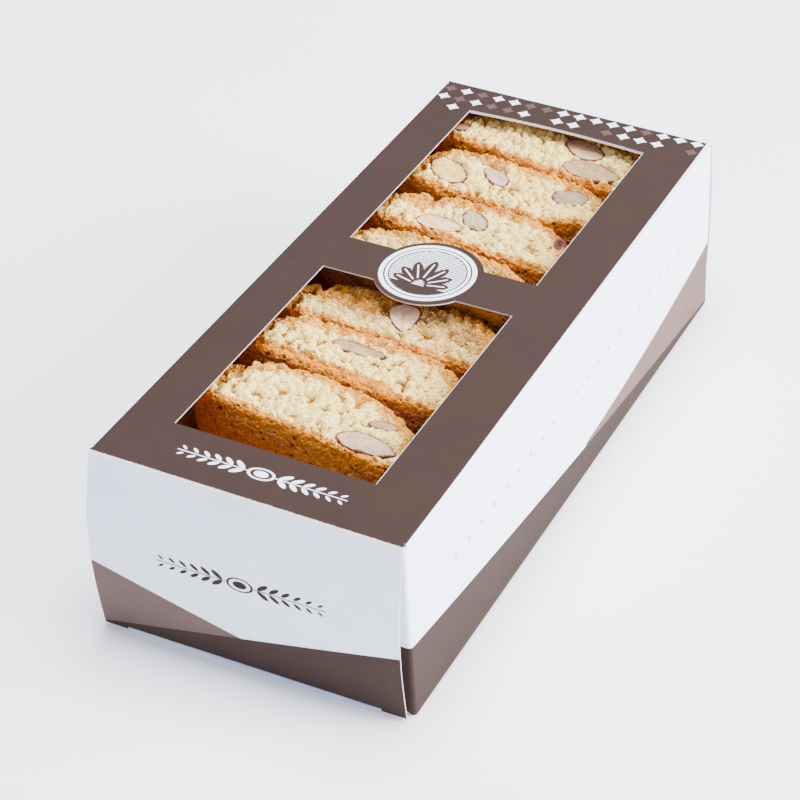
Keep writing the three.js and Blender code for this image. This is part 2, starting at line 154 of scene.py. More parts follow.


# front and top place the upper front edge, height is crust to dome, peak is where the dome is
# highest and fullness squares its shoulders. A crack is (x, depth), a hollow (x, y, radius). A heel
# lifts the bottom crust past its x, a shoulder is (radius, x) of a worn edge that ends at x, and a
# torn part lies (x, y, depth) left of x and behind y, this much lower. bake is how dark
# the bottom crust grows towards its foot, partly from baking and partly as painted shade. tone is how
# toasted the crumb is and how far painted shade darkens it towards the dome, rough how broken it is.
# A plain slice has none of the marks that a slice may add.
PLAIN_SLICE = {"crack": None, "heel": None, "shoulder": (SLICE["sole_round"], 0), "torn": None,
               "hollows": (), "nuts": ()}
TOP_ROW = (
    dict(
        PLAIN_SLICE, front=-76, top=58.5, turn=-8, lean=2.5, height=26.9, peak=-3, fullness=2.5,
        crack=(-29.6, 3.2),
        hollows=((-12.1, 11.5, 1.2), (3.2, 12.6, 1.6), (8.6, 14.3, 1.3)),
        bake=0.45, tone=0.0, rough=0.9,
        nuts=(
            nut(23, 15.9, 9.4, 4.6, 14, 0.1, (165, 135, 95), 0.42),
            nut(24.4, 5.3, 20.2, 8.2, 2, 0.2, (183, 157, 122), 0.45, 0.3),
        ),
    ),
    dict(
        PLAIN_SLICE, front=-47.3, top=58.5, turn=-7, lean=1.5, height=22.8, peak=10, fullness=3.4,
        shoulder=(3.8, 19),
        hollows=((21.4, 5.7, 1.5), (7, 8.7, 0.9), (26, 12.9, 1.0)),
        bake=0.9, tone=0.05, rough=1.0,
        nuts=(nut(-1.1, 14.3, 19.2, 5.6, 4, 0.1, (166, 135, 89), 0.65),),
    ),
    dict(
        PLAIN_SLICE, front=-23.6, top=57.3, turn=-4.5, lean=1, height=24.6, peak=15, fullness=3,
        crack=(-27.5, 4.5), torn=(0.5, 9.0, 1.8),
        hollows=((22.5, 11.1, 2.0), (15.1, 18.0, 1.2)),
        bake=0.5, tone=1.0, rough=1.1,
        nuts=(nut(4, 13.2, 15.4, 9.6, -61, 0.35, (224, 192, 152), 0.45, 0.1),),
    ),
    dict(
        PLAIN_SLICE, front=4.4, top=58.5, turn=-6, lean=0, height=26.8, peak=-4, fullness=2.8,
        hollows=((-18, 11.6, 1.1), (24, 9.7, 1.2)),
        bake=0.7, tone=0.35, rough=1.0,
    ),
    dict(
        PLAIN_SLICE, front=33.2, top=58.5, turn=-7, lean=0.5, height=25.1, peak=12, fullness=2.3,
        crack=(-18.4, 4.4),
        hollows=((9.6, 9.9, 0.9), (20.2, 11.6, 1.0)),
        bake=0.55, tone=0.05, rough=1.0,
        nuts=(
            nut(-9, 6.3, 16.8, 7.8, 4, 0.15, (218, 184, 135), 0.4),
            nut(0, 14, 13.6, 8, 138, 0.1, (173, 156, 116), 0.55),
            nut(31.2, 16.4, 6.2, 4, 118, 0, (60, 14, 6), 1.3, 0.1),
        ),
    ),
    dict(
        PLAIN_SLICE, front=59.2, top=58, turn=-7.5, lean=0.5, height=26.9, peak=2, fullness=4.4,
        crack=(-33.5, 2.5), heel=(19, 7),
        hollows=((5.6, 18.9, 1.2), (4.3, 8.4, 1.5)),
        bake=0.4, tone=0.05, rough=1.2,
        nuts=(
            nut(-22.2, 10.7, 18.4, 10.6, 149, 0.1, (221, 187, 110), 0.5, 0.1),
            nut(-6.2, 15.7, 13.6, 6.9, 150, 0.1, (194, 162, 136), 0.6),
            nut(22.2, 17.3, 12.4, 10.2, 12, 0, (150, 132, 104), 0.5),
        ),
    ),
    dict(
        PLAIN_SLICE, front=88.2, top=58.5, turn=-9.5, lean=1, height=26.9, peak=26, fullness=3,
        hollows=((-9, 8.0, 1.0), (2, 8.4, 1.0)),
        bake=0.4, tone=0.0, rough=1.3,
        nuts=(
            nut(13.8, 18, 17.4, 10, 162, 0.1, (196, 160, 122), 0.5, 0.1),
            nut(23.5, 6.8, 21, 10.2, 3, 0.15, (169, 136, 96), 0.5, 0.2),
            nut(-30, 7.1, 6.2, 4.8, 76, 0, (186, 140, 108), 0.5),
        ),
    ),
)
# The layers under it: the upper face of each, and how far slices stand apart and stray from their row
LOWER = dict(
    PLAIN_SLICE, layers=(36.9, 18.9), count=8, first=-110.8, pitch=28.0, centre=1.0, sway=5.0,
    thickness=15.4, height=26, turn=-3, lean=4, peak=2, fullness=2.3, bake=0.6, tone=0.1,
)

# ---- Camera and light, m, with the lens and its sensor in mm ----
CAMERA = {"aim": (-0.0131, 0.0033, 0.0119), "distance": 0.7597, "azimuth": 28.2, "elevation": 37.16,
          "roll": -1.875, "lens": 103.43, "sensor": 36.0, "clip_start": 0.01}
LIGHTS = {
    "key": {"place": (1.42, 0.3, 0.67), "size": 1.0, "colour": (1.0, 0.985, 0.96)},
    "upper": {"place": (0.0, 0.25, 1.42), "size": 0.8, "colour": (1.0, 0.98, 0.96)},
}
ROOM_COLOUR = (0.83, 0.93, 1.22, 1.0)
FLOOR_HALF = 4.0


def srgb(red, green, blue):
    """A colour given as 0 to 255 on a screen, as the linear values that a shader takes."""
    shares = (channel / 255 for channel in (red, green, blue))
    return tuple(c / 12.92 if c <= 0.04045 else ((c + 0.055) / 1.055) ** 2.4 for c in shares)


def colour_property(name, description, default):
    """A colour of linear values that a user can change."""
    return FloatVectorProperty(name=name, description=description, subtype="COLOR", size=3, min=0, max=1,
                               default=default)


class BiscottiCartonSettings(bpy.types.PropertyGroup):
    """Sizes and inks of the folded carton."""

    board: FloatProperty(name="Board", description="Thickness of the board", default=0.4 * MM,
                         min=0.2 * MM, max=1.0 * MM, unit="LENGTH")
    brown: colour_property("Brown ink", "The dark ink of the top and the low fields", srgb(51, 39, 34))
    taupe: colour_property("Taupe ink", "The lighter ink of the low fields", srgb(101, 82, 76))
    white: colour_property("Coated white", "The bare coated face of the board", srgb(236, 242, 255))
    core: colour_property("Board core", "The cut edge of the board", srgb(206, 196, 204))
    # painted shade: the inner face is brown to darken the inside of the carton
    inside: colour_property("Inside", "The uncoated inner face", srgb(168, 104, 62))
    rubbed: colour_property("Rubbed fold", "The board where its ink has rubbed off", srgb(236, 222, 204))
    shift: FloatProperty(name="Print shift", default=2.0 * MM, min=0, max=4.0 * MM, unit="LENGTH",
                         description="How far the top's ink falls short at the rear right")


class BiscottiDoughSettings(bpy.types.PropertyGroup):
    """Sizes and colours of the baked slices and their almonds."""

    cell: FloatProperty(name="Detail", description="Size of the mesh cells on the slices in sight",
                        default=0.3 * MM, min=0.2 * MM, max=2.0 * MM, unit="LENGTH")
    lower_cell: FloatProperty(name="Lower detail", description="Size of the mesh cells on the lower slices",
                              default=1.3 * MM, min=0.4 * MM, max=4.0 * MM, unit="LENGTH")
    crumb: colour_property("Crumb", "The raised grains of the cut face", srgb(255, 229, 142))
    # painted shade: the crevices and holes of the cut face are coloured darker than its grains
    golden_crevice_shade: colour_property("Golden crumb", "The crevices of the cut face", srgb(202, 150, 68))
    hole_shade: colour_property("Deep crumb", "The bottom of holes in the cut face", srgb(122, 76, 30))
    rim: colour_property("Rim", "The toasted edge of the cut face", srgb(212, 144, 40))
    dome: colour_property("Dome crust", "The upper crust", srgb(170, 100, 50))
    sole: colour_property("Bottom crust", "The crust that lay on the tray", srgb(212, 130, 24))
    # darker towards the bottom crust's foot: partly baked harder, partly painted shade
    baked_and_shaded_sole: colour_property("Dark crust", "The bottom crust where it baked hardest", srgb(178, 106, 66))
    # painted shade: the colour that the crust's pores and crevices darken towards
    pore_shade: colour_property("Scorch", "The bottom of pores in the crust", srgb(60, 26, 12))
    skin: colour_property("Skin", "The almond's skin", srgb(98, 50, 38))
    pale_sugar: colour_property("Pale sugar", "The lighter grains of sugar", srgb(236, 190, 120))
    brown_sugar: colour_property("Brown sugar", "The browner grains of sugar", srgb(214, 150, 80))
    sugar_size: FloatProperty(name="Sugar", description="Size of a grain of sugar", default=0.36 * MM,
                              min=0.1 * MM, max=1.0 * MM, unit="LENGTH")
    crumb_size: FloatProperty(name="Loose crumb", description="Size of a crumb lying on a cut face",
                              default=0.5 * MM, min=0.2 * MM, max=2.0 * MM, unit="LENGTH")
    seed: IntProperty(name="Seed", description="Changes every random place and size", default=7, min=0)


class BiscottiStageSettings(bpy.types.PropertyGroup):
    """The floor, the light and the camera."""

    floor: colour_property("Floor", "The pale floor", srgb(251, 251, 253))
    key: FloatProperty(name="Key", description="Strength of the large soft light", default=96.0, min=0,
                       unit="POWER")
    upper: FloatProperty(name="Upper", description="Strength of the light overhead", default=49.0, min=0,
                         unit="POWER")
    sky: FloatProperty(name="Sky", description="Strength of the light from all round", default=1.15, min=0)


# ---- Small tools ----
def link_mesh(name, mesh):
    """An object of this mesh, in the scene."""
    piece = bpy.data.objects.new(name, mesh)
    bpy.context.scene.collection.objects.link(piece)
    return piece


def mesh_from(name, points, faces):
    """A mesh of points and of faces that list them."""
    mesh = bpy.data.meshes.new(name)
    mesh.from_pydata([tuple(point) for point in points], [], [tuple(face) for face in faces])
    mesh.update()
    return mesh


def finished_mesh(piece, name):
    """The piece's mesh with its modifiers worked out, in an object of its own."""
    depsgraph = bpy.context.evaluated_depsgraph_get()
    mesh = bpy.data.meshes.new_from_object(piece.evaluated_get(depsgraph))
    mesh.name = name
    old = piece.data
    bpy.data.objects.remove(piece)
    if isinstance(old, bpy.types.Mesh) and old.users == 0:
        bpy.data.meshes.remove(old)
    return link_mesh(name, mesh)


def read_vectors(items, key):
    """One vector for each item, as rows of an array."""
    flat = np.empty(len(items) * 3, np.float32)
    items.foreach_get(key, flat)
    return flat.reshape(-1, 3).astype(float)


def set_points(mesh, points):
    mesh.vertices.foreach_set("co", np.asarray(points, np.float32).ravel())
    mesh.update()


def set_attribute(mesh, name, values, domain="POINT"):
    """Gives each point or face a number that a material can read."""
    attribute = mesh.attributes.get(name) or mesh.attributes.new(name, "FLOAT", domain)
    attribute.data.foreach_set("value", np.asarray(values, np.float32))


def shade_smooth(mesh, sharp_angle=None):
    """Smooth shading, with edges past the angle in degrees left sharp."""
    mesh.shade_smooth()
    if sharp_angle is not None:
        mesh.set_sharp_from_angle(angle=math.radians(sharp_angle))


def ramp(value, low, high):
    """0 below low, 1 above high, and smooth between them."""
    share = np.clip((value - low) / (high - low), 0, 1)
    return share * share * (3 - 2 * share)


def arc(centre, radius, start, end, steps):
    """Points round a circle from one angle to another, in degrees."""
    angles = np.radians(np.linspace(start, end, steps + 1))
    return [(centre[0] + radius * math.cos(a), centre[1] + radius * math.sin(a)) for a in angles]


# ---- Uneven forms ----
def cell_random(cells, seed):
    """A repeatable number from 0 to 1 for each whole-number cell."""
    key = cells.astype(np.int64).astype(np.uint32)
    mixed = key[..., 0] * np.uint32(73856093) ^ key[..., 1] * np.uint32(19349663)
    mixed = mixed ^ key[..., 2] * np.uint32(83492791) ^ np.uint32(seed * 2654435761 % 2**32)
    mixed = (mixed ^ (mixed >> np.uint32(15))) * np.uint32(2246822519)
    mixed = (mixed ^ (mixed >> np.uint32(13))) * np.uint32(3266489917)
    return (mixed ^ (mixed >> np.uint32(16))) / float(2**32)


def swell(points, size, seed):
    """Smooth noise from -1 to 1 whose waves are about size long."""
    scaled = points / size
    low = np.floor(scaled)
    share = scaled - low
    share = share * share * (3 - 2 * share)
    total = np.zeros(len(points))
    for corner in np.ndindex(2, 2, 2):
        weight = np.prod(np.where(corner, share, 1 - share), axis=1)
        total += weight * cell_random(low + corner, seed)
    return 2 * total - 1


def layered(points, size, seed):
    """Smooth noise from -1 to 1 in three layers, each half the size and strength of the last."""
    total = np.zeros(len(points))
    for octave in range(3):
        total += swell(points, size / 2**octave, seed + octave) / 2**octave
    return total / 1.75


def wander(points, size, seed):
    """A smooth random shift along each axis, from -1 to 1."""
    return np.stack([swell(points, size, seed + axis) for axis in range(3)], axis=1)


def nearest_cells(points, size, seed):
    """For each point, its distance to the jittered middle of each cell round it, and that cell's draw."""
    scaled = points / size
    low = np.floor(scaled)
    for step in np.ndindex(3, 3, 3):
        cell = low + np.array(step) - 1
        middle = np.stack([cell_random(cell, seed + axis) for axis in range(3)], axis=1)
        yield np.linalg.norm(cell + middle - scaled, axis=1), cell_random(cell, seed + 5)


def lumps(points, size, seed):
    """Rounded grains packed together, 1 at the middle of a grain and near 0 in the seams."""
    nearest = np.full(len(points), 9.0)
    for distance, _ in nearest_cells(points, size, seed):
        nearest = np.minimum(nearest, distance)
    return np.clip(1 - nearest**2, 0, 1)


def dents(points, size, radii, share, seed):
    """Round hollows scattered among the cells, 1 at the bottom of a hollow and 0 outside it."""
    deepest = np.zeros(len(points))
    for distance, draw in nearest_cells(points, size, seed):
        radius = (radii[0] + (radii[1] - radii[0]) * (draw / share)) / size
        inside = np.clip(1 - (distance / radius) ** 2, 0, 1)
        deepest = np.maximum(deepest, np.where(draw < share, inside, 0))
    return deepest


# ---- The folded blank ----
class Blank:
    """The middle surface of the folded board, built from patches that share their borders."""

    def __init__(self):
        self.points = []
        self.lookup = {}
        self.faces = []
        self.panels = []
        self.wear = []

    def point(self, place, wear=0.0):
        """The index of the point at this place, which is made if it isn't there yet."""
        key = tuple(round(value, 3) for value in place)
        if key not in self.lookup:
            self.lookup[key] = len(self.points)
            self.points.append(key)
            self.wear.append(0.0)
        index = self.lookup[key]
        self.wear[index] = max(self.wear[index], wear)
        return index

    def face(self, places, panel):
        """A face of one panel. Corners that fall together count once."""
        corners = []
        for index in (self.point(place) for place in places):
            if index not in corners:
                corners.append(index)
        if len(corners) > 2:
            self.faces.append(corners)
            self.panels.append(panel)

    def patch(self, rows, panel):
        """Four-sided faces between rows of as many points each."""
        for near, far in zip(rows, rows[1:]):
            for i in range(len(near) - 1):
                self.face((near[i], near[i + 1], far[i + 1], far[i]), panel)


def splayed(x, z):
    """x moved out towards the carton's wider base."""
    return x * (1 + (1 - z / HEIGHT) * SPLAY / HALF_WIDTH)


def panel_reach(x, z, skew):
    """How far out an end panel stands: out to its foot, bowed in the middle, more on its left."""
    down = 1 - z / HEIGHT
    spring = min(1, down * 3)
    return (HALF_LENGTH - BOARD / 2 + END["foot_out"] * down
            + END["bow"] * math.sin(math.pi * down**0.9) - skew * spring * x / HALF_WIDTH)


def bend(before, corner, after, steps=5):
    """A round fold in place of a corner."""
    axes = list(zip(before, corner, after))
    return [tuple((1 - t) ** 2 * a + 2 * t * (1 - t) * b + t * t * c for a, b, c in axes)
            for t in (i / steps for i in range(steps + 1))]


MID = BOARD / 2
FLAT = HALF_WIDTH - CORNER                     # where the top panel meets its rounded long edges
BORDER = 1.0                                   # a narrow strip that keeps flat panels flat beside a fold
STATIONS = (-FOLD_LINE, BORDER - FOLD_LINE, FOLD_LINE - BORDER, FOLD_LINE)
PANEL_HALF = HALF_WIDTH - 0.3                  # the ends are a little narrower, so that they fold in freely
TUCK_HALF = HALF_WIDTH - END["foot_width"]
FOOT_COLUMNS = 3
TUCK_COLUMNS = 20
FACE_ROWS = 44
FOLD_ROW = 4                                   # the row of an end panel in the middle of its upper fold
FOLD_WEAR = (0.5, 1.0, 1.0, 0.4)               # how rubbed the rows are, from the one before FOLD_ROW
LEVELS = [CORNER] + list(np.linspace(CORNER + BORDER, HEIGHT - CORNER - BORDER, 9)) + [HEIGHT - CORNER]


def end_columns():
    """Where the columns of an end panel stand: closer together over its feet than over the tuck flap."""
    left = list(np.linspace(-PANEL_HALF, -TUCK_HALF, FOOT_COLUMNS + 1))
    middle = list(np.linspace(-TUCK_HALF, TUCK_HALF, TUCK_COLUMNS + 1))
    return left[:-1] + middle + [-x for x in reversed(left[:-1])]


def far_edge(reach, side):
    """Points along the window edge away from the disc. The rear window's is bowed out."""
    half = WINDOW["width"] / 2
    bow = WINDOW["bow"] if side > 0 else 0.0
    far = reach[0] if side < 0 else reach[1]
    return [(WINDOW["centre"] + half * t, far + bow * (1 - t * t)) for t in np.linspace(-1, 1, 17)]


def window_outline(reach, side):
    """A window's outline. The disc on the bridge bites into the edge that is nearest to it."""
    left = WINDOW["centre"] - WINDOW["width"] / 2
    right = WINDOW["centre"] + WINDOW["width"] / 2
    edge = reach[1] if side < 0 else reach[0]
    angle = math.degrees(math.asin((edge - DISC["y"]) / DISC["radius"]))
    bite = arc((DISC["x"], DISC["y"]), DISC["radius"], angle, side * 180 - angle, 48)
    return far_edge(reach, side) + [(right, edge)] + bite + [(left, edge)]


def in_window(x, y):
    """Whether a place on the top lies in one of the windows."""
    if math.hypot(x - DISC["x"], y - DISC["y"]) < DISC["radius"]:
        return False
    across = (x - WINDOW["centre"]) / (WINDOW["width"] / 2)
    bowed = WINDOW["rear"][1] + WINDOW["bow"] * (1 - across**2)
    in_reach = WINDOW["front"][0] < y < WINDOW["front"][1] or WINDOW["rear"][0] < y < bowed
    return in_reach and abs(across) < 1


def cut_sheet(half, across):
    """Triangles of the flat part of the top, with its two windows left out."""
    border = [(-half, STATIONS[0])] + [(x, STATIONS[0]) for x in across] + [(half, y) for y in STATIONS]
    border += [(x, STATIONS[3]) for x in reversed(across)] + [(-half, y) for y in reversed(STATIONS)]
    outlines = [border[:-1], window_outline(WINDOW["front"], -1), window_outline(WINDOW["rear"], 1)]
    points = [Vector(point) for outline in outlines for point in outline]
    edges = []
    for outline in outlines:
        first = len(edges)
        edges += [(first + i, first + (i + 1) % len(outline)) for i in range(len(outline))]
    flat, _, triangles, *_ = delaunay_2d_cdt(points, edges, [], 1, 1e-4)
    triangles = [[flat[i] for i in triangle] for triangle in triangles]
    return [c for c in triangles if not in_window(sum(p.x for p in c) / 3, sum(p.y for p in c) / 3)]


def top_panel(blank):
    """The top between its long folds, and the far edge of the rear window, which is bent down."""
    inner = FLAT - BORDER
    columns = [x * FLAT / PANEL_HALF for x in end_columns()]
    z = HEIGHT - MID
    for triangle in cut_sheet(inner, [x for x in columns if abs(x) < inner]):
        blank.face([(corner.x, corner.y, z) for corner in triangle], TOP)
    line = far_edge(WINDOW["rear"], 1)
    blank.patch([[(x, y, level) for x, y in line] for level in (z, z - TURN_DOWN)], EDGE)
    for side in (-1, 1):
        outer = sorted((side * x for x in columns if inner < x < FLAT), key=abs)
        for k, (low, high) in enumerate(zip(STATIONS, STATIONS[1:])):
            first = [(x, low) for x in outer] if k == 0 else []
            last = [(x, high) for x in reversed(outer)] if k == 2 else []
            ring = [(side * inner, low), *first, (side * FLAT, low)]
            ring += [(side * FLAT, high), *last, (side * inner, high)]
            blank.face([(x, y, z) for x, y in ring], TOP)


def turned(rows, turn):
    """Rows of points at the front, or turned round to the rear where turn is -1."""
    return [[(turn * x, turn * y, z) for x, y, z in row] for row in rows]


def long_sides(blank):
    """Both side panels with the rounded folds over and under them, and the bottom panel."""
    radius = CORNER - MID
    for side in (-1, 1):
        over = arc((FLAT, HEIGHT - CORNER), radius, 90, 0, 6)
        under = arc((FLAT, CORNER), radius, 0, -90, 6)
        wall = [(FLAT + radius, z) for z in reversed(LEVELS)]
        for profile, panel in ((over[:4], TOP), (over[3:], SIDE), (wall, SIDE), (under, SIDE)):
            rows = [[(side * splayed(x, z) if z < HEIGHT - MID else side * x, y, z) for y in STATIONS]
                    for x, z in profile]
            blank.patch(rows, panel)
    lip_columns = [x for x in end_columns() if abs(x) <= TUCK_HALF]
    half = splayed(FLAT, MID)
    front = [(-half, STATIONS[0])] + [(x, STATIONS[0]) for x in lip_columns] + [(half, y) for y in STATIONS]
    rear = [(x, STATIONS[3]) for x in reversed(lip_columns)] + [(-half, y) for y in reversed(STATIONS)]
    blank.face([(x, y, MID) for x, y in front + rear[:-1]], BASE)


def end_panel(blank, turn):
    """The end panel with its fold, feet and tuck flap. turn is 1 at the front and -1 at the rear."""
    skew = turn * END["skew"]
    crease = END["crease"]
    top = HEIGHT - MID
    low = END["fold_height"]
    columns = end_columns()

    def wall(x, z):
        """A point on the bowed panel."""
        return (x, -panel_reach(x, z, skew), z)

    def path(x):
        """One column, from the top panel over the fold and down the end."""
        points = [(x * FLAT / PANEL_HALF, -FOLD_LINE, top), (x, -FOLD_LINE - BORDER, top)]
        corner = wall(x, top)
        points += bend((x, corner[1] + crease, top), corner, wall(x, top - crease))
        points += [wall(x, z) for z in np.linspace(top - 2 * crease, low + 2 * crease, FACE_ROWS)]
        return points

    rows = list(zip(*[path(x) for x in columns]))
    blank.patch(turned(rows[: FOLD_ROW + 1], turn), TOP)
    blank.patch(turned(rows[FOLD_ROW:], turn), FACE)
    for row, wear in zip(turned(rows[FOLD_ROW - 1 :], turn), FOLD_WEAR):
        for point in row:
            blank.point(point, wear)
    last = rows[-1]
    for part in (columns[: FOOT_COLUMNS + 1], columns[-FOOT_COLUMNS - 1 :]):
        start = columns.index(part[0])
        joint = last[start : start + len(part)]
        foot = [wall(x, END["foot_height"] + MID) for x in part]
        blank.patch(turned((joint, foot), turn), FACE)
    middle = columns[FOOT_COLUMNS : len(columns) - FOOT_COLUMNS]
    joint = last[FOOT_COLUMNS : len(columns) - FOOT_COLUMNS]
    folds = []
    for x, start in zip(middle, joint):
        corner = wall(x, low)
        inner = x * (1 - END["tuck_taper"] / TUCK_HALF)
        reach = [(x + (inner - x) * t, corner[1] + crease + (END["tuck_depth"] - crease) * t, low)
                 for t in (0.3, 1)]
        folds.append([start] + bend(wall(x, low + crease), corner, (x, corner[1] + crease, low)) + reach)
    tuck = turned(zip(*folds), turn)
    blank.patch(tuck[:4], FACE)
    blank.patch(tuck[3:], BASE)


def end_trim(blank, turn):
    """The two dust flaps behind an end panel and the bare lip of the bottom panel under it."""
    bend_radius = FLAP["radius"] - MID
    for side in (-1, 1):
        line = arc((HALF_WIDTH - FLAP["radius"], -FOLD_LINE), bend_radius, 0, -90, 10)
        rows = [[(side * splayed(x, z), y, z) for z in LEVELS] for x, y in line]
        span = FLAP["high"] - FLAP["low"]
        for x in (HALF_WIDTH - FLAP["radius"] - BORDER, HALF_WIDTH - FLAP["reach"]):
            share = (HALF_WIDTH - FLAP["radius"] - x) / (FLAP["reach"] - FLAP["radius"])
            slant = FLAP["slant"] * share
            heights = [FLAP["low"] + slant + (span - 2 * slant) * (z - CORNER) / (HEIGHT - 2 * CORNER)
                       for z in LEVELS]
            rows.append([(side * splayed(x, z), line[-1][1], z) for z in heights])
        blank.patch(turned(rows, turn), SIDE)
    lip = -(HALF_LENGTH + LIP["out"] - LIP["bow"])
    across = [x for x in end_columns() if abs(x) <= TUCK_HALF]
    fold = [(x, -FOLD_LINE, MID) for x in across]
    edge = [(x, lip - LIP["bow"] * (1 - (x / TUCK_HALF) ** 2), MID) for x in across]
    blank.patch(turned((fold, edge), turn), BASE)


def pushed_out(points):
    """The filled carton: a little wider, longer at the front and out of square at its rear left."""
    x, y, z = np.array(points).T
    wide = ASKEW["wide"] * np.sign(x) * ramp(np.abs(x), *ASKEW["wide_over"])
    rear = ASKEW["rear"] * ramp(y, *ASKEW["rear_over"]) * (1 - x / HALF_WIDTH)
    front = ASKEW["front"] * ramp(-y, *ASKEW["front_over"])
    return np.stack([x + wide, y + rear - front, z], axis=1)


def build_carton(settings):
    """The blank, pushed out of square and given its thickness and its three finishes."""
    blank = Blank()
    top_panel(blank)
    long_sides(blank)
    for turn in (1, -1):
        end_panel(blank, turn)
        end_trim(blank, turn)
    mesh = mesh_from("carton", pushed_out(blank.points), blank.faces)
    set_attribute(mesh, "panel", blank.panels, "FACE")
    set_attribute(mesh, "wear", blank.wear)
    piece = link_mesh("carton_board", mesh)
    face_outwards(mesh)
    thick = piece.modifiers.new("board", "SOLIDIFY")
    thick.thickness = settings.board / MM
    thick.offset = 0
    thick.use_even_offset = True
    thick.material_offset = 1
    thick.material_offset_rim = 2
    for material in (printed_board(settings), inner_board(settings), cut_board(settings)):
        mesh.materials.append(material)
    piece = finished_mesh(piece, "folded_carton")
    set_points(piece.data, read_vectors(piece.data.vertices, "co") * MM)
    shade_smooth(piece.data, 32)
    return piece


def face_outwards(mesh):
    """Turns all faces of one connected sheet the same way, with the highest one facing up."""
    shell = bmesh.new()
    shell.from_mesh(mesh)
    bmesh.ops.recalc_face_normals(shell, faces=shell.faces)
    shell.normal_update()
    highest = max(shell.faces, key=lambda face: (round(face.calc_center_median().z, 2), face.calc_area()))
    if highest.normal.z < 0:
        bmesh.ops.reverse_faces(shell, faces=shell.faces)
    shell.to_mesh(mesh)
    shell.free()
    mesh.update()


# ---- A biscotto ----
def dome_edge(x, cut):
    """Where the dome stands above the bottom crust, with its crack."""
    half = SLICE["length"] / 2
    peak = cut["peak"]
    reach = np.where(x < peak, (x - peak) / (half + peak), (x - peak) / (half - peak))
    arch = np.sqrt(np.clip(1 - np.abs(reach) ** cut["fullness"], 0, 1))
    edge = cut["height"] * (SLICE["end_height"] + (1 - SLICE["end_height"]) * arch)
    if cut["crack"]:
        place, depth = cut["crack"]
        edge = edge - depth * np.exp(-(((x - place) / SLICE["crack_width"]) ** 2))
    return edge


def sole_edge(x, cut):
    """Where the bottom crust runs: curled up at both ends, and lifted past a heel."""
    half = SLICE["length"] / 2
    curl = cut["height"] * SLICE["end_height"] * (np.abs(x) / half) ** SLICE["curl"]
    if not cut["heel"]:
        return curl
    start, rise = cut["heel"]
    return np.maximum(curl, rise * np.sin(math.pi / 2 * np.clip((x - start) / (half - start), 0, 1)))


def shoulder(x, cut):
    """The radius of the bottom crust's upper edge, larger where the edge is worn down."""
    radius, end = cut["shoulder"]
    plain = SLICE["sole_round"]
    return plain + (radius - plain) * (1 - ramp(x, end - 2, end + 2))


def cross_section(low, high, near, thickness):
    """A ring round the slice from crust to crust, with its four long edges rounded over."""
    room = 0.42 * (high - low)
    near, far, foot = min(near, room), min(SLICE["dome_round"], room), min(SLICE["sole_round"], room)
    ring = arc((low + near, -near), near, 180, 90, 5)
    ring += arc((high - far, -far), far, 90, 0, 5)
    ring += arc((high - far, far - thickness), far, 0, -90, 4)
    ring += arc((low + foot, foot - thickness), foot, 270, 180, 3)
    return ring + [(low - SLICE["barrel"], -thickness / 2)]


def rough_slice(cut, thickness):
    """A plain closed slice: a ring round each of its cross-sections, and a cap over each end."""
    half = SLICE["length"] / 2
    stations = SLICE["tip"] * half * np.sin(np.linspace(-0.5, 0.5, SLICE_RINGS) * math.pi)
    edges = zip(sole_edge(stations, cut), dome_edge(stations, cut), shoulder(stations, cut))
    rings = [cross_section(*(float(value) for value in edge), thickness) for edge in edges]
    points = [(x, y, z) for x, ring in zip(stations, rings) for y, z in ring]
    count = len(rings[0])
    faces = []
    for i in range(len(stations) - 1):
        for j in range(count):
            a, b = i * count + j, i * count + (j + 1) % count
            faces.append((a, a + count, b + count, b))
    faces.append(tuple(range(count)))
    faces.append(tuple(reversed(range(len(points) - count, len(points)))))
    return points, faces


def outline_gaps(x, y, cut):
    """How far each place on the cut face is from the bottom crust and from the dome."""
    half = SLICE["length"] / 2 * SLICE["tip"]
    along = np.linspace(-half, half, 260)
    places = np.stack([x, y], axis=1)
    nearest = []
    for edge in (sole_edge(along, cut), dome_edge(along, cut)):
        gaps = np.full(len(places), 99.0)
        for px, py in zip(along, edge):
            gaps = np.minimum(gaps, np.hypot(places[:, 0] - px, places[:, 1] - py))
        nearest.append(gaps)
    return nearest


def inside_nut(x, y, kernel):
    """Below 1 inside the cut almond's oval, 1 on its edge."""
    turn = math.radians(kernel["turn"])
    dx, dy = x - kernel["x"], y - kernel["y"]
    along = (dx * math.cos(turn) + dy * math.sin(turn)) / (kernel["length"] / 2)
    across = (-dx * math.sin(turn) + dy * math.cos(turn)) / (kernel["width"] / 2)
    return np.hypot(along, across / (1 - kernel["taper"] * np.clip(along, -1, 1)))


def lay_in(cut, top):
    """The slice's own frame in the carton, in mm."""
    turn = Matrix.Rotation(math.radians(cut["turn"]), 4, "Z")
    lean = Matrix.Rotation(-math.radians(cut["lean"]), 4, "X")
    return Matrix.Translation((cut.get("centre", SLICE["centre"]), cut["front"], top)) @ (turn @ lean)


def moved(points, matrix):
    """The points carried over by a matrix."""
    grid = np.array(matrix)
    return points @ grid[:3, :3].T + grid[:3, 3]


def crumb_relief(own, rough, seed):
    """Clumps of crumb with crevices between them, and round holes: its height, mm, and how hollow."""
    bent = own + 0.5 * wander(own, 1.9, seed + 50)
    clumps = lumps(bent, CLUMP, seed + 11) - 0.65
    grains = lumps(bent, GRAIN, seed + 12) - 0.65
    holes = dents(bent, *CRUMB["holes"], seed + 21)
    nicks = dents(own, *CRUMB["nicks"], seed + 31)
    uneven = rough * (1 + 0.5 * swell(own, 6.0, seed + 18))
    height = CRUMB["clump"] * uneven * clumps + CRUMB["swell"] * rough * swell(own, 5.5, seed + 17) + grains
    height += -CRUMB["hole"] * np.sqrt(holes) - CRUMB["nick"] * nicks
    crevice = ramp(-(1.9 * uneven * clumps + 0.9 * grains), -0.05, 0.55)
    return height, np.clip(0.9 * crevice + 0.95 * np.sqrt(holes) + 0.7 * nicks, 0, 1)


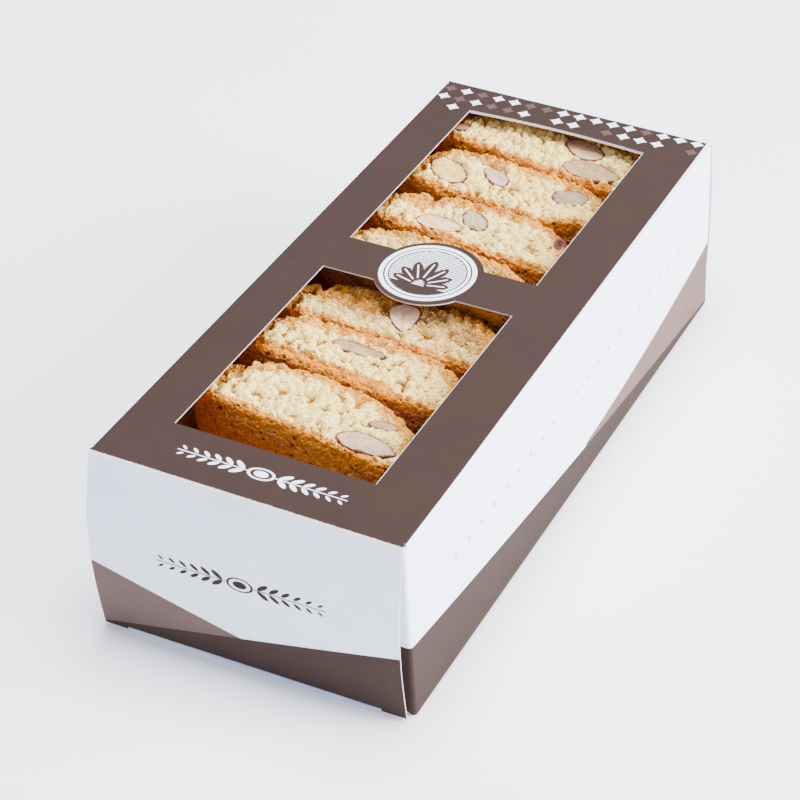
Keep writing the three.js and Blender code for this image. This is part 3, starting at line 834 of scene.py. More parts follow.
def crust_relief(own, sole, seed):
    """Grit and blisters with pores between them: its height, mm, and how hollow."""
    bent = own + 0.35 * wander(own, 1.3, seed + 60)
    blisters = lumps(bent, CLUMP, seed + 13) - 0.7
    grit = lumps(bent, GRIT, seed + 14) - 0.7
    pores = dents(bent, *CRUST["pores"], seed + 41)
    height = (CRUST["blister"] - CRUST["sole_flatter"] * sole) * blisters
    height = height + CRUST["grit"] * grit - CRUST["pore"] * np.sqrt(pores)
    crevice = ramp(-(1.2 * blisters * (1 - 0.4 * sole) + 1.2 * grit), 0.05, 0.7)
    return height, np.clip(0.5 * crevice + 0.95 * pores, 0, 1)


def add_relief(rise, hollow, own, crust, sole, upper, rough, seed):
    """Adds the crumb's relief and the crust's to the upper points' rise, mm, and to how hollow they are."""
    for part, share, relief in (
        (crust < 1, 1 - crust, lambda spots: crumb_relief(own[spots], rough, seed)),
        (crust > 0, crust, lambda spots: crust_relief(own[spots], sole[spots], seed)),
    ):
        spots = np.flatnonzero(part & upper)
        height, deep = relief(spots)
        rise[spots] += height * share[spots]
        hollow[spots] += deep * share[spots]


def press_pit(x, y, own, pit, seed):
    """A deep hole of uneven outline in the cut face, 1 at its bottom."""
    px, py, radius = pit
    reach = np.hypot(x - px, (y - py) * 1.15) / radius * (1 + 0.45 * swell(own, 1.3, seed))
    return np.sqrt(np.clip(1 - reach**2, 0, 1))


def toasting(x, y, own, gaps, facing, cut, seed):
    """How toasted the cut face is, with the torn part browned partly as painted shade, and how far it sinks
    where the dome has cracked or the crumb tore.
    """
    sole_gap, dome_gap = gaps
    ragged = 0.9 * swell(own, 2.4, seed + 1) + 0.45 * swell(own, 1.0, seed + 4)
    toast = np.maximum(1 - ramp(sole_gap - 0.8 * shoulder(x, cut) + ragged, *TOAST["sole_reach"]),
                       1 - ramp(dome_gap + 1.5 * ragged, *TOAST["dome_reach"]))
    tip = ramp(SLICE["browned"] - x + 1.5 * ragged, -1.2, 1.2)
    toast = np.maximum(toast, TOAST["tip"] * tip)
    sink = tip * facing
    if cut["crack"]:
        place = cut["crack"][0]
        beyond = ramp(place + 0.8 - x + ragged, 0, 2) * (1 - ramp(dome_gap + ragged, *TOAST["crack_reach"]))
        toast = np.maximum(toast, TOAST["crack"] * beyond)
        groove = TOAST["groove"] * np.exp(-(((x - place) / TOAST["groove_width"]) ** 2))
        sink += groove * (1 - ramp(dome_gap, *TOAST["groove_reach"])) * facing
    if cut["torn"]:
        right, front, depth = cut["torn"]
        ragged = 1.6 * swell(own, 5.0, seed + 15) + ragged
        torn = ramp(y + ragged, front - 0.4, front + 0.8) * (1 - ramp(x + ragged, right - 0.5, right + 0.8))
        # the torn part is browned partly as painted shade, where it lies low under the top
        toast = np.maximum(toast, TOAST["torn"] * torn)
        sink += depth * torn * facing
    return toast, sink


def sink_pocket(points, was, normals, own, kernel, seed):
    """Lowers the crumb under a cut almond, so that the almond has room. was is the plain slice."""
    across = inside_nut(was[:, 0], was[:, 1], kernel)
    near = (was[:, 2] > -NUT["pocket_reach"] * kernel["width"]) * (normals[:, 2] > -0.2)
    pocket = (1 - ramp(across + 0.07 * swell(own, 1.1, seed + 7), 0.95, 1.05)) * near
    depth = NUT["pocket_depth"] * kernel["width"] * np.sqrt(np.clip(1 - across**2, 0, 1))
    floor = -depth - NUT["pocket_gap"]
    sunk = np.minimum(points[:, 2], points[:, 2] * (1 - pocket) + floor * pocket)
    points[:, 2] = np.where(pocket > 0, sunk, points[:, 2])


def bake_slice(name, cut, thickness, cell, seed, fine):
    """A slice with its crumb, holes and crust worked into the mesh."""
    piece = link_mesh("slice", mesh_from("slice", *rough_slice(cut, thickness)))
    remesh = piece.modifiers.new("even cells", "REMESH")
    remesh.mode = "VOXEL"
    remesh.voxel_size = cell
    piece = finished_mesh(piece, name)
    mesh = piece.data
    plain = read_vectors(mesh.vertices, "co")
    normals = read_vectors(mesh.vertex_normals, "vector")
    x, y, z = plain.T
    own = plain + np.array((0, 0, 100.0 * seed))
    broad = layered(own, 9.0, seed + 2)
    depth = np.minimum(-z, z + thickness)
    facing = ramp(normals[:, 2], 0.2, 0.7)
    gaps = outline_gaps(x, y, cut)
    sole = ramp(gaps[1] - gaps[0], -1.5, 1.5)
    toast, sink = toasting(x, y, own, gaps, facing, cut, seed)
    worn = gaps[0] - 0.8 * (shoulder(x, cut) - SLICE["sole_round"])
    edge = np.minimum(worn, gaps[1]) + 0.6 * swell(own, 1.4, seed + 3)
    crust = np.maximum(1 - ramp(edge, 0.2, 1.3), ramp(depth, 0.5, 1.6))
    # sunk places count as a little hollow, which the material darkens as painted shade
    hollow = 0.08 * sink
    rise = 0.4 * broad - sink
    if fine:
        add_relief(rise, hollow, own, crust, sole, z > -0.8 * thickness, cut["rough"], seed)
        for pit in cut["hollows"]:
            hole = press_pit(x, y, own, pit, seed + 6) * (facing > 0.1)
            rise -= CRUMB["pit"] * hole
            hollow = np.maximum(hollow, hole)
    else:
        rise += 0.35 * (lumps(own, CLUMP, seed + 11) - 0.5)
    for kernel in cut["nuts"]:
        beside = (1 - ramp(inside_nut(x, y, kernel), 1.0, 1.25)) * facing
        rise = np.where(beside > 0, rise * (1 - 0.6 * beside) - 0.1 * beside, rise)
    points = plain + normals * rise[:, None]
    for kernel in cut["nuts"]:
        sink_pocket(points, plain, normals, own, kernel, seed)
    # crust is 1 on a crust, sole 1 on the bottom one, low 1 at its foot; sugar and crumbs say where these lie
    for label, values in (
        ("crust", crust),
        ("sole", sole),
        ("toast", toast),
        ("hollow", hollow),
        ("low", ramp(-z + 0.8 * swell(own, 2.4, seed + 9), 0.4, 6.0)),
        # how dark the bottom crust grows towards its foot: partly baking, partly painted shade
        ("bake", cut["bake"] + 0.12 * broad),
        # toasting of the crumb, together with painted shade where the top shades it, growing towards the dome
        ("warm", cut["tone"] * (0.3 + 0.7 * ramp(y + 1.5 * broad, 5, 13)) * (1 + 0.5 * broad)),
        ("crumbs", facing * (1 - crust)),
        ("sugar", crust * ramp(z, -14, -2) * ramp(swell(own, 4.0, seed + 8), -0.3, 0.5)),
    ):
        set_attribute(mesh, label, values)
    set_points(mesh, moved(points, lay_in(cut, cut["top"])) * MM)
    shade_smooth(mesh)
    return piece


# ---- A cut almond ----
def nut_levels(kernel, radius, skin_line):
    """Rings from a cut almond's middle to its edge and down its sides: scale, height and skin of each."""
    levels = []
    for ring in range(1, NUT["rings"] + 1):
        share = 1 - (1 - ring / NUT["rings"]) ** 1.7
        height = kernel["lift"] + NUT["proud"] + NUT["crown"] * (1 - share**2)
        inwards = (1 - share) * radius
        skin = 1 - ramp(inwards, skin_line * 0.8, skin_line * 0.8 + 0.16)
        # a wide band inside the rim gives flakes of skin and a painted shade towards the rim
        skin = np.maximum(skin, 0.38 * (1 - ramp(inwards, 0.3, 2.6)))
        levels.append((share, np.full(len(radius), height), skin))
    for scale, depth in NUT["sides"]:
        levels.append((scale, np.full(len(radius), depth * kernel["width"]), np.ones(len(radius))))
    return levels


def capped_rings(around, rings):
    """Faces of a closed form: a point in the middle of its top, then rings of points, then a flat cap."""
    faces = [(0, 1 + i, 1 + (i + 1) % around) for i in range(around)]
    for ring in range(rings - 1):
        for i in range(around):
            a, b = 1 + ring * around + i, 1 + ring * around + (i + 1) % around
            faces.append((a, a + around, b + around, b))
    last = 1 + (rings - 1) * around
    return faces + [tuple(reversed(range(last, last + around)))]


def nut_mesh(name, kernel, place, seed):
    """The cut face is slightly crowned and scored; the skin shows as a thin rim and down the sides."""
    around = NUT["around"]
    angles = np.linspace(0, 2 * math.pi, around, endpoint=False)
    circle = np.stack([np.cos(angles), np.sin(angles), np.full(around, 7.3 * seed)], axis=1)
    ragged = 1 + 0.08 * swell(circle * (2.2, 2.2, 1), 1.0, seed)
    ragged += 0.045 * swell(circle * (9, 9, 1), 1.0, seed + 1)
    skin_line = kernel["skin"] * (1.1 + 0.9 * swell(circle * (4, 4, 1), 1.0, seed + 2))
    along = circle[:, 0] * (kernel["length"] / 2) * ragged
    across = circle[:, 1] * (kernel["width"] / 2) * ragged * (1 - kernel["taper"] * circle[:, 0])
    levels = nut_levels(kernel, np.hypot(along, across), skin_line)
    points = [np.array([[0, 0, kernel["lift"] + NUT["proud"] + NUT["crown"]]])]
    points += [np.stack([along * scale, across * scale, heights], axis=1) for scale, heights, _ in levels]
    points = np.concatenate(points)
    skin = np.concatenate([np.zeros(1)] + [level[2] for level in levels])
    own = points + 37.0 * seed
    stretched = own * np.array((0.35, 1.0, 1.0))
    on_top = np.arange(len(points)) < 1 + NUT["rings"] * around
    scored = NUT["groove"] * layered(stretched, 3.2, seed) + 0.06 * swell(own, 0.7, seed + 4)
    points[:, 2] += on_top * scored
    turn = math.radians(kernel["turn"])
    x = points[:, 0] * math.cos(turn) - points[:, 1] * math.sin(turn) + kernel["x"]
    y = points[:, 0] * math.sin(turn) + points[:, 1] * math.cos(turn) + kernel["y"]
    points = moved(np.stack([x, y, points[:, 2]], axis=1), place) * MM
    mesh = mesh_from(name, points, capped_rings(around, len(levels)))
    set_attribute(mesh, "skin", skin)
    set_attribute(mesh, "vein", swell(stretched, 0.9, seed + 9))
    for label, value in zip(("red", "green", "blue"), srgb(*kernel["colour"])):
        set_attribute(mesh, label, np.full(len(points), value))
    shade_smooth(mesh)
    return mesh


# ---- Shader tools ----
class Graph:
    """Adds nodes to a tree and links them, so that a formula reads like one."""

    def __init__(self, tree):
        self.tree = tree

    def node(self, kind, **values):
        """A node of this kind with its own settings."""
        made = self.tree.nodes.new(kind)
        for key, value in values.items():
            setattr(made, key, value)
        return made

    def feed(self, socket, value):
        """Links a socket to another, or sets its value."""
        if isinstance(value, bpy.types.NodeSocket):
            self.tree.links.new(value, socket)
        else:
            socket.default_value = value

    def math(self, operation, *values, clamp=False):
        made = self.node("ShaderNodeMath", operation=operation, use_clamp=clamp)
        for socket, value in zip(made.inputs, values):
            self.feed(socket, value)
        return made.outputs[0]

    def sum(self, first, *others):
        for other in others:
            first = self.math("ADD", first, other)
        return first

    def less(self, first, second):
        return self.math("SUBTRACT", first, second)

    def times(self, first, *others):
        for other in others:
            first = self.math("MULTIPLY", first, other)
        return first

    def inside(self, value, limit, softness):
        """1 where value is below limit, 0 above it, with an edge of the given softness."""
        gap = self.less(limit, value)
        return self.math("MULTIPLY_ADD", gap, 1 / softness, 0.5, clamp=True)

    def both(self, *masks):
        """1 where all masks are 1."""
        return self.times(*masks)

    def either(self, first, *others):
        """1 where any mask is 1."""
        for other in others:
            first = self.math("MAXIMUM", first, other)
        return first

    def invert(self, mask):
        return self.math("SUBTRACT", 1.0, mask)

    def hypot(self, first, second):
        """The length of a line that reaches first one way and second the other."""
        squares = (self.math("POWER", value, 2.0) for value in (first, second))
        return self.math("SQRT", self.sum(*squares))

    def clamp(self, value, low, high):
        return self.math("MAXIMUM", self.math("MINIMUM", value, high), low)

    def mix(self, mask, first, second):
        """The first colour where mask is 0 and the second where it is 1."""
        made = self.node("ShaderNodeMix", data_type="RGBA", blend_type="MIX", clamp_factor=True)
        self.feed(made.inputs["Factor"], mask)
        for key, value in (("A", first), ("B", second)):
            socket = next(s for s in made.inputs if s.name == key and s.type == "RGBA")
            self.feed(socket, value if isinstance(value, bpy.types.NodeSocket) else (*value[:3], 1.0))
        return next(s for s in made.outputs if s.type == "RGBA")

    def attribute(self, name):
        return self.node("ShaderNodeAttribute", attribute_name=name).outputs["Fac"]

    def noise(self, vector, scale, detail=3.0, rough=0.55):
        made = self.node("ShaderNodeTexNoise", noise_dimensions="3D")
        self.feed(made.inputs["Vector"], vector)
        made.inputs["Scale"].default_value = scale
        made.inputs["Detail"].default_value = detail
        made.inputs["Roughness"].default_value = rough
        return made.outputs["Fac"]

    def cells(self, vector, scale):
        """The distance to the nearest of the points scattered through space."""
        made = self.node("ShaderNodeTexVoronoi", feature="F1")
        self.feed(made.inputs["Vector"], vector)
        made.inputs["Scale"].default_value = scale
        return made.outputs["Distance"]

    def span(self, value, low, high, start=0.0, end=1.0):
        """Runs smoothly from start to end while value goes from low to high."""
        made = self.node("ShaderNodeMapRange", interpolation_type="SMOOTHSTEP")
        for socket, amount in zip(made.inputs, (value, low, high, start, end)):
            self.feed(socket, amount)
        return made.outputs[0]

    def millimetres(self):
        """The place on the piece in the frame, mm."""
        place = self.node("ShaderNodeTexCoord").outputs["Object"]
        made = self.node("ShaderNodeVectorMath", operation="SCALE")
        self.feed(made.inputs[0], place)
        made.inputs["Scale"].default_value = 1 / MM
        return made.outputs[0]

    def split(self, vector):
        made = self.node("ShaderNodeSeparateXYZ")
        self.feed(made.inputs[0], vector)
        return made.outputs

    def group(self, tree, **values):
        """A group node, fed by the lower-case names of its inputs."""
        made = self.node("ShaderNodeGroup", node_tree=tree)
        for key, value in values.items():
            self.feed(made.inputs[key.replace("_", " ").capitalize()], value)
        return made.outputs

    def bump(self, height, depth):
        """A bump whose height is 0 to 1 over depth millimetres."""
        made = self.node("ShaderNodeBump")
        made.inputs["Distance"].default_value = depth * MM
        self.feed(made.inputs["Height"], height)
        return made.outputs[0]


def new_material(name):
    """A material, the graph of its nodes and its shader."""
    material = bpy.data.materials.new(name)
    material.use_nodes = True
    shader = next(n for n in material.node_tree.nodes if n.type == "BSDF_PRINCIPLED")
    return material, Graph(material.node_tree), shader


def ready(name, build, settings):
    """The material of this name, built the first time that it is needed."""
    return bpy.data.materials.get(name) or build(settings)


def new_group(name, inputs, outputs):
    """A shader group. Inputs are name: default, and a vector where the default is None."""
    tree = bpy.data.node_groups.new(name, "ShaderNodeTree")
    for label, default in inputs.items():
        kind = "NodeSocketVector" if default is None else "NodeSocketFloat"
        socket = tree.interface.new_socket(label, in_out="INPUT", socket_type=kind)
        if default is not None:
            socket.default_value = default
    for label in outputs:
        tree.interface.new_socket(label, in_out="OUTPUT", socket_type="NodeSocketFloat")
    graph = Graph(tree)
    return tree, graph, graph.node("NodeGroupInput").outputs, graph.node("NodeGroupOutput").inputs


def mottle_group():
    """Soft uneven patches about 1, for a surface's lightness, and a fine grain for its bump."""
    inputs = {"Vector": None, "Patch": 0.12, "Grain": 4.0, "Amount": 0.1}
    tree, graph, given, result = new_group("Mottle", inputs, ("Shade", "Grain"))
    patch = graph.node("ShaderNodeTexNoise")
    fine = graph.node("ShaderNodeTexNoise")
    for made, scale in ((patch, "Patch"), (fine, "Grain")):
        graph.feed(made.inputs["Vector"], given["Vector"])
        graph.feed(made.inputs["Scale"], given[scale])
        made.inputs["Detail"].default_value = 4.0
    small = graph.times(graph.less(fine.outputs["Fac"], 0.5), 0.7)
    both = graph.sum(graph.less(patch.outputs["Fac"], 0.5), small)
    graph.feed(result["Shade"], graph.sum(graph.times(both, given["Amount"]), 1.0))
    graph.feed(result["Grain"], fine.outputs["Fac"])
    return tree


def mottled(graph, vector, patch, grain, amount):
    """The shared mottle group with a material's own sizes and strength."""
    tree = bpy.data.node_groups.get("Mottle") or mottle_group()
    return graph.group(tree, vector=vector, patch=patch, grain=grain, amount=amount)


def shade_by(graph, colour, shade):
    """A colour made darker or lighter by a number."""
    made = graph.node("ShaderNodeVectorMath", operation="SCALE")
    graph.feed(made.inputs[0], colour)
    graph.feed(made.inputs["Scale"], shade)
    return made.outputs[0]


# ---- Printed board ----
PRINT = {
    "edge": 0.14,                                # softness of an ink edge, mm
    "face_light": (27.6, -0.295),                # a field on the ends: its height at the left and its slope
    "face_dark": (1.67, 0.244),
    "side_light": (7.4, 12.5, 0.045, 0.00075),   # its tip, the tip's height, its slope and its curve
    "side_dark": (26.9, -32.9, 7.7),             # height along the side as a curve from its front end
    "lozenge": (6.22, 5.8, -47.4, 113.6, 0.41),  # pitch across and along, the rear left one, half size
    "columns": 16,
    "disc": (-2.65, 5.1),                        # the printed rings' middle, a little off the board's disc
    "sprig_top": -105.2,
    "sprig_face": 35.6,
    "row_side": (38.0, 8.6, 0.15, 94.0),         # height, pitch, half size in pitches, half length
}
# The sprig's pairs of leaves are numbered outwards from 0 to last, and each is smaller by shrink. The
# fan's leaves run from -outer to outer, and each is shorter by shrink mm.
SPRIG = {"pitch": 3.7, "start": 7.4, "last": 5, "shrink": 0.1, "off_stem": 1.45, "tilt": 34,
         "leaf": (2.1, 0.78), "stem": (4.6, 27.5, 0.17), "almond": (4.4, 2.5)}
FAN = {"foot": 7.2, "spread": 0.44, "outer": 3, "reach": 8.2, "shrink": 0.8, "slim": 0.7, "half_width": 1.9,
       "ground": -7.4, "ink_radius": 12.2, "hatch_pitch": 1.1, "rings": ((12.65, 13.6), (14.15, 15.65))}


def lozenge_mask(graph, u, v, half):
    """A lozenge with hollow sides about the origin of u and v, which count in pitches."""
    power = 0.78
    reach = graph.sum(*(graph.math("POWER", graph.math("ABSOLUTE", axis), power) for axis in (u, v)))
    return graph.inside(reach, half**power, 0.05)


def lattice(graph, x, y):
    """Rows of lozenges at the rear of the top, thinning out forwards: a mask and the lighter ones."""
    pitch_x, pitch_y, start_x, start_y, half = PRINT["lozenge"]
    across = graph.times(graph.less(x, start_x), 1 / pitch_x)
    along = graph.times(graph.less(y, start_y), 1 / pitch_y)
    column = graph.math("ROUND", across)
    row = graph.math("ROUND", along)
    shape = lozenge_mask(graph, graph.less(across, column), graph.less(along, row), half)
    cell = graph.node("ShaderNodeCombineXYZ")
    graph.feed(cell.inputs[0], graph.times(column, 1.37))
    graph.feed(cell.inputs[1], graph.times(row, 2.71))
    draws = []
    for offset in (3.3, 9.1):
        draw = graph.node("ShaderNodeTexWhiteNoise", noise_dimensions="4D")
        graph.feed(draw.inputs["Vector"], cell.outputs[0])
        draw.inputs["W"].default_value = offset
        draws.append(draw.outputs["Value"])
    share = graph.sum(1.08, graph.times(row, 0.32))
    beside = graph.math("GREATER_THAN", graph.math("ABSOLUTE", graph.less(column, 7.5)), 5.5)
    clear = graph.either(beside, graph.math("GREATER_THAN", row, -1.5))
    within = graph.both(graph.inside(row, 0.5, 0.1), clear, graph.math("GREATER_THAN", column, -0.5),
                        graph.math("LESS_THAN", column, PRINT["columns"] - 0.5),
                        graph.math("LESS_THAN", draws[0], share))
    return graph.both(shape, within), graph.math("LESS_THAN", draws[1], 0.4)


def sprig(graph, u, v):
    """A row of paired leaves on a stem about an almond, drawn for u and v in mm."""
    side = graph.math("ABSOLUTE", u)
    past = graph.less(side, SPRIG["start"])
    number = graph.clamp(graph.math("ROUND", graph.times(past, 1 / SPRIG["pitch"])), 0.0, SPRIG["last"])
    scale = graph.less(1.0, graph.times(number, SPRIG["shrink"]))
    along = graph.less(past, graph.times(number, SPRIG["pitch"]))
    above = graph.less(graph.math("ABSOLUTE", v), SPRIG["off_stem"])
    tilt = math.radians(SPRIG["tilt"])
    p = graph.sum(graph.times(along, math.cos(tilt)), graph.times(above, math.sin(tilt)))
    q = graph.less(graph.times(above, math.cos(tilt)), graph.times(along, math.sin(tilt)))
    length, width = SPRIG["leaf"]
    leaf = graph.inside(graph.hypot(graph.times(p, 1 / length), graph.times(q, 1 / width)), scale, 0.14)
    near, far, half = SPRIG["stem"]
    stem = graph.both(graph.inside(graph.math("ABSOLUTE", v), half, 0.12), graph.inside(side, far, 0.2),
                      graph.math("GREATER_THAN", side, near))
    length, width = SPRIG["almond"]
    almond = graph.hypot(graph.times(u, 1 / length), graph.times(v, 1 / width))
    ring = graph.both(graph.inside(almond, 1.0, 0.06), graph.invert(graph.inside(almond, 0.8, 0.06)))
    heart = graph.inside(almond, 0.52, 0.06)
    return graph.either(leaf, stem, ring, heart)


def medallion(graph, x, y):
    """Rings round a hatched disc with a fan of leaves: a mask of where the board stays white."""
    u = graph.less(x, PRINT["disc"][0])
    v = graph.less(y, PRINT["disc"][1])
    radius = graph.hypot(u, v)
    soft = 0.12
    disc = graph.inside(radius, FAN["ink_radius"], soft)
    hatch = graph.inside(0.22, graph.math("PINGPONG", graph.times(v, 1 / FAN["hatch_pitch"]), 0.5), 0.1)
    up = graph.sum(v, FAN["foot"])
    angle = graph.math("ARCTAN2", u, up)
    number = graph.math("ROUND", graph.times(angle, 1 / FAN["spread"]))
    number = graph.clamp(number, -FAN["outer"], FAN["outer"])
    swing = graph.less(angle, graph.times(number, FAN["spread"]))
    reach = graph.hypot(u, up)
    length = graph.less(FAN["reach"], graph.times(graph.math("ABSOLUTE", number), FAN["shrink"]))
    along = graph.less(graph.times(reach, graph.math("COSINE", swing)), length)
    p = graph.math("DIVIDE", along, graph.times(length, FAN["slim"]))
    q = graph.times(graph.times(reach, graph.math("SINE", swing)), 1 / FAN["half_width"])
    petal = graph.hypot(p, q)
    vein = graph.both(graph.inside(graph.math("ABSOLUTE", q), 0.12, 0.1), graph.inside(petal, 0.7, 0.06))
    ground = graph.both(graph.inside(v, FAN["ground"], soft), disc)
    drawn = graph.both(graph.either(graph.inside(petal, 1.0, 0.06), ground), graph.invert(vein))
    inner = graph.either(graph.both(disc, hatch, graph.invert(drawn)), graph.both(vein, disc))
    rings = [graph.both(graph.inside(radius, high, soft), graph.invert(graph.inside(radius, low, soft)))
             for low, high in FAN["rings"]]
    return graph.either(inner, *rings)


def low_fields(graph, u, s, z, on_face, on_side):
    """The dark and the light wedges along the foot of the ends and the sides."""
    edge = PRINT["edge"]

    def below(line):
        return graph.inside(z, line, edge)

    def straight(height, slope):
        return graph.sum(height, graph.times(graph.sum(u, HALF_WIDTH), slope))

    tip, height, slope, curve = PRINT["side_light"]
    past = graph.less(s, tip)
    side_light = graph.sum(height, graph.times(past, slope), graph.times(past, past, curve))
    start, fall, rise = PRINT["side_dark"]
    along = graph.times(graph.sum(s, HALF_LENGTH), 0.5 / HALF_LENGTH)
    side_dark = graph.sum(start, graph.times(along, fall), graph.times(along, along, rise))
    dark = graph.either(graph.both(on_face, below(straight(*PRINT["face_dark"]))),
                        graph.both(on_side, below(side_dark)))
    light = graph.either(graph.both(on_face, below(straight(*PRINT["face_light"]))),
                         graph.both(on_side, below(side_light), graph.inside(tip, s, edge)))
    return dark, light


def lozenge_row(graph, s, z):
    """A row of small lozenges along a side."""
    height, pitch, half, reach = PRINT["row_side"]
    along = graph.times(s, 1 / pitch)
    beat = graph.less(along, graph.math("ROUND", along))
    dots = lozenge_mask(graph, beat, graph.times(graph.less(z, height), 1 / pitch), half)
    return graph.both(dots, graph.inside(graph.math("ABSOLUTE", s), reach, 0.5))


def top_ink_mask(graph, x, y, on_top, shift):
    """The top's ink. It leaves a thin line bare beside the windows and falls short at the rear right."""
    fall = graph.times(graph.sum(y, HALF_LENGTH), shift / MM / 2 / HALF_LENGTH)
    limit = graph.less(HALF_WIDTH + ASKEW["wide"] - 0.05, fall)
    ink = graph.both(on_top, graph.inside(x, limit, PRINT["edge"]))
    beside = graph.math("ABSOLUTE", graph.less(x, WINDOW["centre"] + WINDOW["width"] / 2))
    beside = graph.inside(beside, 0.1, 0.1)
    for low, high in (WINDOW["front"], WINDOW["rear"]):
        along = graph.both(graph.math("GREATER_THAN", y, low), graph.math("LESS_THAN", y, high))
        ink = graph.both(ink, graph.invert(graph.both(beside, along)))
    return ink


def worn_folds(graph, place):
    """Where the ink has rubbed off along the folds of the ends: a ragged line and a faint scuff."""
    wear = graph.attribute("wear")
    scuff = graph.noise(place, 1.7, 5.0, 0.7)
    line = graph.span(graph.sum(wear, graph.times(graph.less(scuff, 0.5), 0.9)), 0.72, 0.95)
    rub = graph.times(graph.span(wear, 0.02, 0.6), graph.span(scuff, 0.52, 0.68), 0.3)
    return graph.either(line, rub)


def printed_board(settings):
    """Coated white board with brown and taupe ink. u runs across an end and s along a side."""
    material, graph, shader = new_material("printed_board")
    place = graph.millimetres()
    x, y, z = graph.split(place)
    panel = graph.attribute("panel")
    on_top, to_side, to_face = (graph.inside(panel, code + 0.5, 0.1) for code in (TOP, SIDE, FACE))
    on_side = graph.both(to_side, graph.invert(on_top))
    on_face = graph.both(to_face, graph.invert(to_side))

    u = graph.times(x, graph.math("SIGN", y), -1.0)
    s = graph.times(y, graph.math("SIGN", x))
    dark_fields, light_fields = low_fields(graph, u, s, z, on_face, on_side)
    dots = graph.both(lozenge_row(graph, s, z), on_side)
    face_sprig = graph.both(sprig(graph, u, graph.less(z, PRINT["sprig_face"])), on_face)
    top_ink = top_ink_mask(graph, x, y, on_top, settings.shift)
    stars, pale = lattice(graph, x, y)
    top_sprig = sprig(graph, x, graph.less(y, PRINT["sprig_top"]))
    top_white = graph.either(top_sprig, medallion(graph, x, y), graph.both(stars, graph.invert(pale)))

    tone = mottled(graph, place, patch=0.1, grain=2.6, amount=0.2)
    colour = graph.mix(light_fields, settings.white, settings.taupe)
    colour = graph.mix(graph.either(dark_fields, top_ink, face_sprig), colour, settings.brown)
    colour = graph.mix(graph.both(dots, graph.invert(dark_fields), 0.55), colour, settings.taupe)
    colour = graph.mix(graph.both(top_ink, stars, pale, 0.5), colour, settings.taupe)
    colour = graph.mix(graph.both(top_ink, top_white), colour, settings.white)
    colour = graph.mix(worn_folds(graph, place), colour, settings.rubbed)
    # painted light: the dark fields on the ends are made lighter than the same ink on the top and the sides
    shade = graph.sum(tone["Shade"], graph.times(graph.both(on_face, dark_fields), 0.34))
    graph.feed(shader.inputs["Base Color"], shade_by(graph, colour, shade))
    graph.feed(shader.inputs["Roughness"], graph.sum(0.45, graph.times(tone["Grain"], 0.16)))
    graph.feed(shader.inputs["Normal"], graph.bump(tone["Grain"], 0.03))
    shader.inputs["Specular IOR Level"].default_value = 0.05
    return material


def inner_board(settings):
    """Brown inner face, darkened as painted shade for the inside of the carton, white on the strips beside
    the end folds that show from outside.
    """
    material, graph, shader = new_material("inner_board")
    place = graph.millimetres()
    x, y, z = graph.split(place)
    tone = mottled(graph, place, patch=0.3, grain=3.0, amount=0.5)
    margin = graph.math("GREATER_THAN", graph.math("ABSOLUTE", x), HALF_WIDTH - 12.0)
    outside = graph.math("GREATER_THAN", graph.math("ABSOLUTE", y), HALF_LENGTH - 0.5)
    in_sight = graph.both(graph.either(graph.inside(z, 1.0, 0.2), margin), outside)
    colour = graph.mix(in_sight, settings.inside, settings.white)
    graph.feed(shader.inputs["Base Color"], shade_by(graph, colour, tone["Shade"]))
    graph.feed(shader.inputs["Normal"], graph.bump(tone["Grain"], 0.06))
    shader.inputs["Roughness"].default_value = 0.85
    return material


def cut_board(settings):
    """The fibrous cut edge of the board."""
    material, graph, shader = new_material("cut_board")
    tone = mottled(graph, graph.millimetres(), patch=0.8, grain=5.0, amount=0.5)
    graph.feed(shader.inputs["Base Color"], shade_by(graph, settings.core, tone["Shade"]))
    graph.feed(shader.inputs["Normal"], graph.bump(tone["Grain"], 0.08))
    shader.inputs["Roughness"].default_value = 0.9
    return material


# ---- Baked dough ----
def soften(shader, weight, radius):
    """Lets a little light through the outermost millimetre."""
    shader.inputs["Subsurface Weight"].default_value = weight
    shader.inputs["Subsurface Radius"].default_value = radius
    shader.inputs["Subsurface Scale"].default_value = 0.8 * MM


